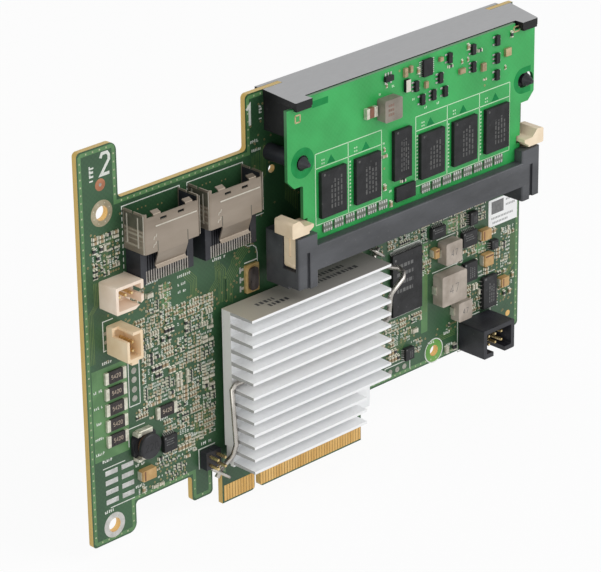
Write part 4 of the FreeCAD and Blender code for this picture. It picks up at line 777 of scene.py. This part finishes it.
for letter, centre in (("b", -33.9), ("a", -12.3)):
    dress("port_cage_" + letter, cage_steel)
    dress("port_housing_" + letter, body_black)
    dress("port_contacts_" + letter, tail_metal)
    trim = new_stock()
    # The pale line along the front rib and the pale strokes beside it are painted highlights; the dark lines at the
    # tab's edges are painted shade in its slits.
    add_line(trim, [(centre - 5.6, 89.4), (centre + 8.0, 89.4)], 0.32, cage_front, cage_front - 0.12, tint=1)
    for dx, z in ((-6.3, 86.4), (-5.6, 86.9), (-6.5, 84.4), (-5.8, 84.9)):
        x = centre + dx
        add_line(trim, [(x, z - 0.4), (x + 0.35, z + 0.4)], 0.2, cage_front, cage_front - 0.05, tint=1)
    for x in (centre - 4.95, centre + 4.95):
        add_line(trim, [(x, 82.7), (x, 85.4)], 0.22, cage_front + 0.02, cage_front - 0.02, tint=2)
    for side in (-1, 1):
        wall = centre + side * cage_half
        for y0, y1, z0, z1, proud, tint in wall_painted_light:
            add_plate(trim, wall, wall + side * proud, z0, z1, y0, y1, tint)
    inner = centre + cage_half - 0.32
    for y0, y1, z0, z1, proud, tint in inner_painted_shade_and_tabs:
        add_plate(trim, inner - proud, inner, z0, z1, y0, y1, tint)
    for dx, z in ((-4.4, 91.4), (-3.1, 91.4), (-1.8, 91.4), (2.2, 90.6), (3.5, 90.6), (-5.2, 89.6)):
        add_ring(trim, centre + dx, z, 0.0, 0.22, board_front, board_front - 0.04, 4, 10)
    make_piece("port_trim_" + letter, trim, [cage_steel, cage_bright, cage_dark, body_black, via_tan, cage_sheen])

# Chips of the board: moulded epoxy bodies with tinned legs bent out flat to their pads, each
# with a pin mark and rows of pale print, here plain bars.
chip_print = finish("chip_print", (0.10, 0.10, 0.10), (0.17, 0.17, 0.165), broad=900.0, rough=0.6)
chip_face = finish("chip_face", (0.014, 0.014, 0.015), (0.030, 0.030, 0.032), broad=350.0, fine=3200.0, rough=0.5,
                   bump=0.3, shine=0.3)
leg_tin = finish("leg_tin", (0.42, 0.42, 0.40), (0.62, 0.62, 0.59), broad=700.0, rough=0.33, metal=0.75)
dress("logic_chips flash_chip", chip_face, 0.1)
dress("flash_leads", leg_tin)
print_stock, leg_stock = new_stock(), new_stock()


def add_print(stock, rng, box, rows, upright, margin=0.16):
    """Rows of short bars and a pin mark on the outer face of a chip."""
    x0, x1, z0, z1, y0, y1 = box
    wide, tall = (z1 - z0, x1 - x0) if upright else (x1 - x0, z1 - z0)
    step = tall * (1 - 2 * margin) / (rows + 1.4)
    for row in range(rows):
        at = tall * margin + step * row + step * 0.25
        a = wide * margin
        end = wide * (1 - margin) * rng.uniform(0.78, 1.0)
        while a < end:
            run = min(rng.uniform(0.05, 0.11) * wide, end - a)
            if upright:
                bar = (x1 - at - step * 0.42, x1 - at, z0 + a, z0 + a + run)
            else:
                bar = (x0 + a, x0 + a + run, z1 - at - step * 0.42, z1 - at)
            add_plate(stock, *bar, y0, y0 - print_skin)
            a += run + wide * 0.03
    add_ring(stock, x0 + 0.09 * wide, z1 - 0.09 * tall, 0.0, min(0.035 * (wide + tall), 0.35), y0, y0 - print_skin,
             sides=14)


leg_width, leg_reach = 0.26, 0.75


def add_legs(stock, box, pitch, upright):
    """Gull-wing legs along two opposite sides of a chip, foot to shoulder."""
    x0, x1, z0, z1 = box[:4]
    low, high, ends = (z0, z1, ((x0, -1), (x1, 1))) if upright else (x0, x1, ((z0, -1), (z1, 1)))
    count = int((high - low - leg_width) / pitch)
    first = (low + high) / 2 - (count - 1) * pitch / 2
    profile = [(-0.05, 0.62), (leg_reach * 0.35, 0.62), (leg_reach * 0.6, 0.14), (leg_reach, 0.14),
               (leg_reach, 0.0), (leg_reach * 0.5, 0.0), (leg_reach * 0.25, 0.48), (-0.05, 0.48)]
    n = len(profile)
    for mid in (first + k * pitch for k in range(count)):
        for edge, out in ends:
            run = [(edge + out * a, board_front - rise, side) for side in (mid - leg_width / 2, mid + leg_width / 2)
                   for a, rise in profile]
            add_mesh(stock, run if upright else [(c, b, a) for a, b, c in run],
                     [tuple(range(n)), tuple(range(2 * n - 1, n - 1, -1)), *bridge(n, 2)])


print_rng = random.Random(9)
for box in solid_boxes("logic_chips"):
    wide, tall = box[1] - box[0], box[3] - box[2]
    add_print(print_stock, print_rng, box, 2 if min(wide, tall) < 3.5 else 3, tall > wide)
    coarse = max(wide, tall) >= 6 and min(wide, tall) > 3.4
    add_legs(leg_stock, box, 1.27 if coarse else 0.65, tall > wide)
for box in solid_boxes("flash_chip"):
    add_print(print_stock, print_rng, box, 4, False, 0.14)
make_piece("chip_marks", print_stock, [chip_print])
make_piece("chip_legs", leg_stock, [leg_tin])

# Sense resistors: fired film on ceramic under black glaze, with wrap-round tin ends and a plain
# number on each.
glaze_black = finish("glaze_black", (0.018, 0.014, 0.014), (0.036, 0.028, 0.027), broad=380.0, rough=0.32, shine=0.35)
dress("sense_resistors", glaze_black, 0.07)
dress("sense_caps", cap_solder, 0.07)
values = new_stock()
for box in solid_boxes("sense_resistors"):
    x0, x1, z0, z1, y0, y1 = box
    size = min((z1 - z0) * 0.24, (x1 - x0) * 0.62 / 5.95)
    add_digits(values, "5420", (x0 + x1) / 2 - size * 2.9, (z0 + z1) / 2 - size, size, 0.15, y0, y0 - print_skin)
make_piece("resistor_values", values, [finish("value_ink", (0.42, 0.34, 0.26), (0.56, 0.46, 0.36))])

# Coils: a drum core on a dark base and three moulded ferrite chokes with tinned end clips.
ferrite_dark = finish("ferrite_dark", (0.014, 0.014, 0.016), (0.030, 0.030, 0.034), broad=260.0, fine=2000.0,
                      rough=0.44, bump=0.35, shine=0.35)
ferrite_pale = finish("ferrite_pale", (0.34, 0.285, 0.235), (0.52, 0.45, 0.385), broad=220.0, fine=2400.0,
                      rough=0.55, bump=0.5, bump_depth=0.03)
dress("power_chokes", ferrite_pale, 0.15)
dress("choke_terminals", cap_solder)
coil_marks = new_stock()
for box in solid_boxes("power_chokes"):
    x0, x1, z0, z1, y0, y1 = box
    size = min(x1 - x0, z1 - z0) * 0.14
    add_digits(coil_marks, "47", x0 + (x1 - x0) * 0.32, z0 + (z1 - z0) * 0.36, size, 0.16, y0, y0 - print_skin)
drum_x, drum_z, drum_half, drum_radius = -39.6, 27.8, 3.85, 3.45
drum_rise = 3.6
coil = new_stock()


def add_turned(stock, x, z, profile, tint=0, sides=40, seat=board_front, way=-1):
    """Turned form about an axis square to the board, from a run of radii and heights."""
    points = [(a, seat + way * height, b) for radius, height in profile for a, b in circle(x, z, radius, sides)]
    last = (len(profile) - 1) * sides
    add_mesh(stock, points, [*bridge(sides, len(profile)), tuple(range(sides)),
                             tuple(range(last + sides - 1, last - 1, -1))], tint)


cut = 1.5
octagon = [(drum_x + a * drum_half - b, drum_z + c * drum_half - d) for a, b, c, d in (
    (-1, -cut, -1, 0), (1, cut, -1, 0), (1, 0, -1, -cut), (1, 0, 1, cut), (1, cut, 1, 0), (-1, -cut, 1, 0),
    (-1, 0, 1, cut), (-1, 0, -1, -cut))]
add_prism(coil, octagon, board_front, board_front - 0.9)
for end in (-1, 1):
    z0, z1 = sorted((drum_z + end * (drum_half - 1.0), drum_z + end * (drum_half + 0.35)))
    for x0, x1, inset, rise in ((-2.3, 2.3, 0.0, 1.7), (-3.2, -2.0, 0.2, 2.3)):
        add_block(coil, drum_x + x0, drum_x + x1, z0 + inset, z1 - inset, board_front, board_front - rise, 0.2, 1)
add_turned(coil, drum_x, drum_z, [(drum_radius, 0.9), (drum_radius, 1.5), (2.5, 1.55)])
add_turned(coil, drum_x, drum_z, [(2.75, 1.5), (2.9, 1.7), (2.9, 2.3), (2.75, 2.5)], tint=2)
add_turned(coil, drum_x, drum_z, [(2.5, 2.45), (drum_radius, 2.5), (drum_radius, drum_rise - 0.25),
                                  (drum_radius - 0.3, drum_rise)])
coil_wire = finish("coil_wire", (0.10, 0.05, 0.02), (0.22, 0.11, 0.05), broad=500.0, fine=3000.0, rough=0.35,
                   metal=0.5, bump=0.5, stretch=(0.2, 3, 0.2))
coil_piece = make_piece("drum_coil_wound", coil, [ferrite_dark, cap_solder, coil_wire])
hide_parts("drum_coil")
drum_y = board_front - drum_rise
add_digits(coil_marks, "220", drum_x - 2.0, drum_z - 0.95, 0.95, 0.24, drum_y, drum_y - 0.015, tint=1)
make_piece("coil_values", coil_marks,
           [chip_print, finish("coil_ink", (0.004, 0.004, 0.005), (0.010, 0.010, 0.011), rough=0.7)])

# Crystal: a stamped can welded on a tan ceramic base. Tantalum capacitors: orange moulded
# epoxy with a polarity bar and bent tin ends.
crystal_frame = finish("crystal_frame", (0.62, 0.40, 0.14), (0.86, 0.62, 0.28), broad=500.0, rough=0.38, metal=0.4)
crystal_can = finish("crystal_can", (0.045, 0.036, 0.034), (0.12, 0.10, 0.094), broad=900.0, fine=2600.0, rough=0.34,
                     metal=0.3, stretch=(1, 1, 0.25), flecks=0.45, fleck_colour=(0.34, 0.31, 0.30))
orange_epoxy = finish("orange_epoxy", (0.47, 0.27, 0.09), (0.62, 0.40, 0.17), broad=400.0, rough=0.45)
dress("crystal_base", crystal_frame, 0.12)
dress("crystal_can", crystal_can, 0.25)
dress("tantalum_capacitors", orange_epoxy, 0.12)
dress("tantalum_caps", cap_solder)
bars = new_stock()
for box in solid_boxes("tantalum_capacitors"):
    x0, x1, z0, z1, y0, y1 = box
    upright = z1 - z0 > x1 - x0
    bar = (x0 + 0.2, x1 - 0.2, z1 - 0.9, z1 - 0.4) if upright else (x0 + 0.4, x0 + 0.9, z0 + 0.2, z1 - 0.2)
    add_plate(bars, *bar, y0, y0 - print_skin)
make_piece("polarity_bars", bars, [finish("bar_brown", (0.16, 0.07, 0.03), (0.24, 0.11, 0.05))])

# Headers: moulded shrouds with square pins cut from plated wire.
cream_plastic = finish("cream_plastic", (0.84, 0.62, 0.38), (0.95, 0.76, 0.53), broad=160.0, fine=2600.0, rough=0.45,
                       bump=0.25)
blush_plastic = finish("blush_plastic", (0.86, 0.68, 0.53), (0.97, 0.82, 0.68), broad=160.0, fine=2600.0, rough=0.45,
                       bump=0.25)
pin_gold = finish("pin_gold", (0.62, 0.45, 0.20), (0.80, 0.64, 0.34), broad=400.0, rough=0.3, metal=0.85)
dress("battery_header", blush_plastic, 0.12)
dress("cable_header", cream_plastic, 0.12)
dress("box_header pin_strip", body_black, 0.12)
dress("battery_pins cable_pins box_header_pins pin_strip_pins", pin_gold, 0.08)

# Label: coated white paper stuck by the free edge under the socket, printed with one grey field
# and plain broken rules.
label_paper = finish("label_paper", (0.90, 0.90, 0.895), (0.96, 0.96, 0.955), broad=120.0, fine=3000.0, rough=0.75,
                     bump=0.2, flecks=0.0)
label_field = finish("label_field", (0.15, 0.15, 0.15), (0.22, 0.22, 0.22), broad=900.0, rough=0.75)
label_grey = finish("label_grey", (0.33, 0.33, 0.33), (0.44, 0.44, 0.44), broad=600.0, rough=0.75)
dress("label", label_paper)
rules = new_stock()
for box in solid_boxes("label"):
    x0, x1, z0, z1, y0, y1 = box
    wide, tall = x1 - x0, z1 - z0
    add_plate(rules, x0 + wide * 0.10, x0 + wide * 0.52, z0 + tall * 0.46, z0 + tall * 0.92, y0, y0 - print_skin, 1)
    for share, start, end in ((0.84, 0.60, 0.92), (0.64, 0.60, 0.94), (0.30, 0.10, 0.90), (0.13, 0.14, 0.72)):
        z = z0 + tall * share
        add_dashes(rules, (x0 + wide * start, z), (x0 + wide * end, z), 0.42, 0.22, 0.62, y0, y0 - print_skin)
make_piece("label_rules", rules, [label_grey, label_field])

# Memory module: a thinner board of brighter green that carries five memory chips, a buffer, a
# choke and many small parts, with plain fingers in the socket.
module_mask = mask_over_laminate("module_mask", (0.018, 0.310, 0.062), (0.030, 0.420, 0.094), (0.05, 0.49, 0.13), 90.0,
                                 (0.02, 0.15, 0.05), (0.07, 0.26, 0.09))
dress("module_board", module_mask)
module_front = -12.9
memory_face = finish("memory_face", (0.009, 0.009, 0.010), (0.020, 0.020, 0.022), broad=350.0, fine=3200.0, rough=0.5,
                     bump=0.3, shine=0.26)
memory_print = finish("memory_print", (0.055, 0.055, 0.055), (0.11, 0.11, 0.105), broad=900.0, rough=0.6)
coil_block = finish("coil_block", (0.20, 0.175, 0.14), (0.31, 0.275, 0.23), broad=220.0, fine=2400.0, rough=0.5,
                    bump=0.3)
coil_red = finish("coil_red", (0.19, 0.115, 0.085), (0.26, 0.165, 0.125), broad=700.0, rough=0.55)
pack_grey = finish("pack_grey", (0.10, 0.12, 0.09), (0.18, 0.20, 0.16), broad=700.0, rough=0.4)
dress("module_memory module_buffer module_logic", memory_face, 0.08)
dress("module_choke", coil_block, 0.15)
dress("module_small_parts", memory_face, 0.12)
dress("module_resistor_packs", pack_grey, 0.05)
module_ink, module_ics, module_legs, module_marks = new_stock(), new_stock(), new_stock(), new_stock()
seat, over = module_front, module_front - ink_depth
for x in (11.0, 22.8, 35.0, 47.8, 59.8, 72.3, 84.3):
    add_line(module_ink, [(x, 75.4), (x, 94.9)], 0.24, seat, over)
for x0, x1 in ((11.0, 35.0), (47.8, 84.3)):
    for z in (90.9, 94.9, 75.4):
        add_line(module_ink, [(x0, z), (x1, z)], 0.24, seat, over)
for x in (23.5, 48.4, 60.4, 72.9):
    add_dashes(module_ink, (x, 77.2), (x, 90.2), 0.45, 0.55, 0.5, seat, over)
for x, z, wide, tall in ((4.2, 105.2, 1.7, 1.9), (85.6, 108.6, 2.2, 1.4)):
    add_box_outline(module_ink, x, x + wide, z, z + tall, 0.4, seat, over, tint=1)
for x in (11.0, 22.8, 47.8, 59.8, 72.3):
    for k in range(4):
        add_ring(module_ink, x + 2.4 + (k % 2) * 0.7, 91.8 + (k // 2) * 0.9, 0.1, 0.24, seat, over, sides=10)
for box in solid_boxes("module_memory") + solid_boxes("module_buffer"):
    add_print(module_marks, print_rng, box, 4, True, 0.16)
brass_pale = finish("brass_pale", (0.44, 0.33, 0.17), (0.60, 0.48, 0.28), broad=500.0, rough=0.35, metal=0.5)
small_ics = [(73.4, 102.1, 1.6, 2.2, 2), (65.0, 103.2, 2.2, 1.4, 2), (43.6, 108.4, 1.2, 2.4, 2),
             (45.6, 108.8, 1.0, 1.8, 2), (56.9, 108.6, 1.3, 1.1, 2), (82.9, 103.9, 2.2, 2.2, 3),
             (51.4, 103.0, 1.1, 1.8, 2)]
module_taken = [box[:4] for node in ("module_memory", "module_buffer", "module_choke", "module_logic",
                                     "module_small_parts", "module_resistor_packs") for box in solid_boxes(node)]
module_taken += [(2.0, 11.0, 89.4, 98.4), (86.1, 95.1, 89.4, 98.4)]
for x, z, wide, tall, kind in small_ics:
    box = (x - wide / 2, x + wide / 2, z - tall / 2, z + tall / 2)
    if not is_free(*box, module_taken):
        continue
    module_taken.append((box[0] - 0.6, box[1] + 0.6, box[2] - 0.6, box[3] + 0.6))
    add_block(module_ics, *box, seat, seat - 0.85, 0.1, kind)
for x0, x1, deep, kind in ((28.6, 29.7, 1.2, 5), (29.7, 31.4, 1.1, 6), (31.4, 32.6, 1.2, 5)):
    add_block(module_ics, x0, x1, 99.6, 102.4, seat, seat - deep, 0.1, kind)
module_parts = new_stock()
for x0, x1, z0, z1, fill, seed in ((34.6, 38.4, 103.0, 108.4, 0.8, 32), (39.4, 50.0, 104.0, 109.6, 0.55, 33),
                                   (47.0, 57.6, 96.6, 102.6, 0.45, 36), (58.4, 68.0, 100.4, 109.8, 0.4, 37),
                                   (72.0, 76.6, 96.6, 109.8, 0.4, 38), (80.0, 85.4, 99.6, 109.4, 0.45, 39),
                                   (36.0, 46.4, 73.4, 94.0, 0.7, 34)):
    rng = random.Random(seed)
    x = x0
    while x < x1:
        z = z0
        while z < z1:
            upright = rng.random() < 0.5
            size = rng.choice(chip_part_sizes[:2])
            wide, tall = (size[1], size[0]) if upright else (size[0], size[1])
            spot = (x - wide / 2 - 0.4, x + wide / 2 + 0.4, z - tall / 2 - 0.4, z + tall / 2 + 0.4)
            if is_free(*spot, module_taken) and rng.random() < fill:
                module_taken.append(spot)
                if rng.random() < 0.62:
                    add_chip_part(module_parts, x, z, size, upright, rng.choice((1, 1, 2)), seat=module_front)
                elif rng.random() < 0.6:
                    add_marks(module_ink, rng, x - 0.5, z - 0.3, 2, 0.7, seat, over)
                else:
                    add_ring(module_parts, x, z, 0.14, 0.32, seat, seat - 0.03, 4, 10)
            z += 1.75
        x += 2.3
make_piece("module_ink", module_ink,
           [finish("ink_pale_green", (0.50, 0.72, 0.48), (0.64, 0.84, 0.60), rough=0.6), brass_pale])
for x0, x1, z0, z1, y0, y1 in solid_boxes("module_small_parts"):
    middle, legs = (z0 + z1) / 2, []
    if x1 - x0 < 1.5:
        two_left = x1 > 69.6 and z0 > 105 or z0 < 98 or x1 < 62 and z0 > 105
        left = (z0 + 0.45, z1 - 0.45) if two_left else (z0 + 0.35, middle, z1 - 0.35)
        right = (middle - 0.95, middle + 0.95) if z0 < 105 else (middle,)
        legs = [(x0 - 0.85, x0 + 0.05, z - 0.24, z + 0.24) for z in left]
        legs += [(x1 - 0.05, x1 + 0.8, z - 0.24, z + 0.24) for z in right]
    elif z1 - z0 < 2.0:
        legs = [(x - 0.24, x + 0.24, z1 - 0.05, z1 + 0.8) for x in (x0 + 0.5, (x0 + x1) / 2, x1 - 0.5)]
        legs += [(x - 0.24, x + 0.24, z0 - 0.8, z0 + 0.05) for x in (x0 + 0.5, x1 - 0.5)]
    for leg in legs:
        add_block(module_legs, *leg, seat, seat - 0.28, 0.08)
for box in solid_boxes("module_logic"):
    if box[2] > 100:
        for k in range(8):
            z = box[2] + 0.4 + k * (box[3] - box[2] - 0.8) / 7
            for x0, x1 in ((box[0] - 1.1, box[0] + 0.05), (box[1] - 0.05, box[1] + 1.1)):
                add_block(module_legs, x0, x1, z - 0.14, z + 0.14, seat, seat - 0.22, 0.05)
for x0, x1, z0, z1, y0, y1 in solid_boxes("module_resistor_packs"):
    for k in range(4):
        x = x0 + 0.42 + k * (x1 - x0 - 0.84) / 3
        for a, b in ((z0 - 0.35, z0 + 0.42), (z1 - 0.42, z1 + 0.35)):
            add_block(module_legs, x - 0.26, x + 0.26, a, b, seat, y0 - 0.05)
    add_box_outline(module_ink, x0 - 0.35, x1 + 0.35, z0 - 0.75, z1 + 0.75, 0.2, seat, over)
white_ceramic = finish("white_ceramic", (0.62, 0.58, 0.49), (0.74, 0.71, 0.62), broad=300.0, rough=0.4)
add_block(module_ics, 43.35, 45.05, 103.05, 106.35, seat - 0.9, seat - 1.0, 0.08, 4)
cap_brown = finish("cap_brown", (0.15, 0.055, 0.030), (0.24, 0.10, 0.06), broad=500.0, rough=0.4)
make_piece("module_ics", module_ics,
           [memory_face, orange_epoxy, capacitor_tan, brass_pale, white_ceramic, cap_solder, cap_brown])
make_piece("module_legs", module_legs, [leg_tin])
x0, x1, z0, z1, y0, y1 = solid_boxes("module_choke")[0]
for row, length in enumerate((2.3, 2.9, 2.3)):
    z = z1 - 1.5 - row * 1.25
    add_dashes(module_marks, (x0 + 1.2, z), (x0 + 1.2 + length, z), 0.55, 0.2, 0.7, y0, y0 - 0.04, tint=1)
make_piece("module_marks", module_marks, [memory_print, coil_red])
make_piece("module_chip_parts", module_parts, [cap_solder, capacitor_tan, resistor_black, capacitor_pale, via_tan])
hole_rings, ring_depth = new_stock(), 0.02
hole_mask = finish("hole_mask", (0.010, 0.230, 0.055), (0.018, 0.300, 0.080), broad=300.0, rough=0.42, flecks=0.0,
                   shine=0.12)
deep_mask = finish("deep_mask", (0.005, 0.190, 0.050), (0.010, 0.250, 0.070), broad=300.0, rough=0.42, flecks=0.0,
                   shine=0.12)
face, lift = seat, seat - ring_depth
add_ring(hole_rings, 6.5, 93.9, 2.1, 4.1, face, lift, sides=40)
slot_turns = [math.radians(90 + 9 * k) for k in range(21)]
outer_bow, inner_bow = ([(89.6 + radius * math.cos(turn), 93.9 + radius * math.sin(turn)) for turn in slot_turns]
                        for radius in (3.7, 2.1))
slot_band = [(92.6, 97.6), *outer_bow, (92.6, 90.2), (92.6, 91.8), *reversed(inner_bow), (92.6, 96.0)]
add_prism(hole_rings, slot_band, face, lift)
add_plate(hole_rings, 10.2, 15.8, 107.6, 109.4, face, lift)
for x0, x1, z0, z1, y0, y1 in solid_boxes("module_memory"):
    middle = (x0 + x1) / 2
    add_prism(hole_rings, [(middle - 1.5, z1 + 1.4), (middle + 1.5, z1 + 1.4), (middle, z1 + 3.6)], face, lift, tint=1)
make_piece("module_hole_rings", hole_rings, [hole_mask, deep_mask])

# Memory socket: glass-filled black nylon with end towers, and its row of tails. The pink nylon
# latches turn on stub pins in the towers.
socket_black = finish("socket_black", (0.040, 0.042, 0.047), (0.082, 0.085, 0.094), broad=150.0, fine=2600.0,
                      rough=0.42, bump=0.3, stretch=(0.3, 1, 1))
pink_nylon = finish("pink_nylon", (0.82, 0.65, 0.45), (0.95, 0.79, 0.58), broad=180.0, fine=2400.0, rough=0.42,
                    bump=0.25)
dress("dimm_socket", socket_black, 0.12)
dress("socket_contacts", tail_metal)
dress("latch_left latch_right", pink_nylon, 0.14)

# Retention bar: a long black moulding over the module's back, held by split pegs through the
# board. Its upper faces are painted a light grey as a painted sheen.
bar_black_painted_sheen = finish("bar_black_painted_sheen", (0.008, 0.008, 0.009), (0.018, 0.018, 0.019), broad=120.0, fine=2200.0, rough=0.46,
                   bump=0.2, stretch=(0.2, 1, 1), shine=0.22)
tree, bar_colour, bar_tone = paint_of(bar_black_painted_sheen)
# Painted sheen: the faces that look up take a light grey.
tree.links.new(blend_colour(tree, facing(tree, "Z", 0.6, 0.9), bar_tone, (0.45, 0.45, 0.455)), bar_colour)
dress("retention_bar", bar_black_painted_sheen, 0.2)
dress("standoff_pegs", body_black)

# Solder joints on the back: each pin and tail comes through its hole and ends in a small cone
# of solder.
joints = new_stock()
for node in ("battery_pins", "cable_pins", "box_header_pins", "pin_strip_pins", "socket_contacts",
             "port_contacts_a", "port_contacts_b", "clip_anchors"):
    radius = 0.75 if "pins" in node or "clip" in node else 0.34
    cone = [(radius * share, radius * rise) for share, rise in ((1.0, 0.0), (0.6, 0.42), (0.28, 0.9))]
    for x0, x1, z0, z1, y0, y1 in solid_boxes(node):
        add_turned(joints, (x0 + x1) / 2, (z0 + z1) / 2, cone, sides=10, seat=board_back, way=1)
make_piece("solder_joints", joints, [cap_solder])
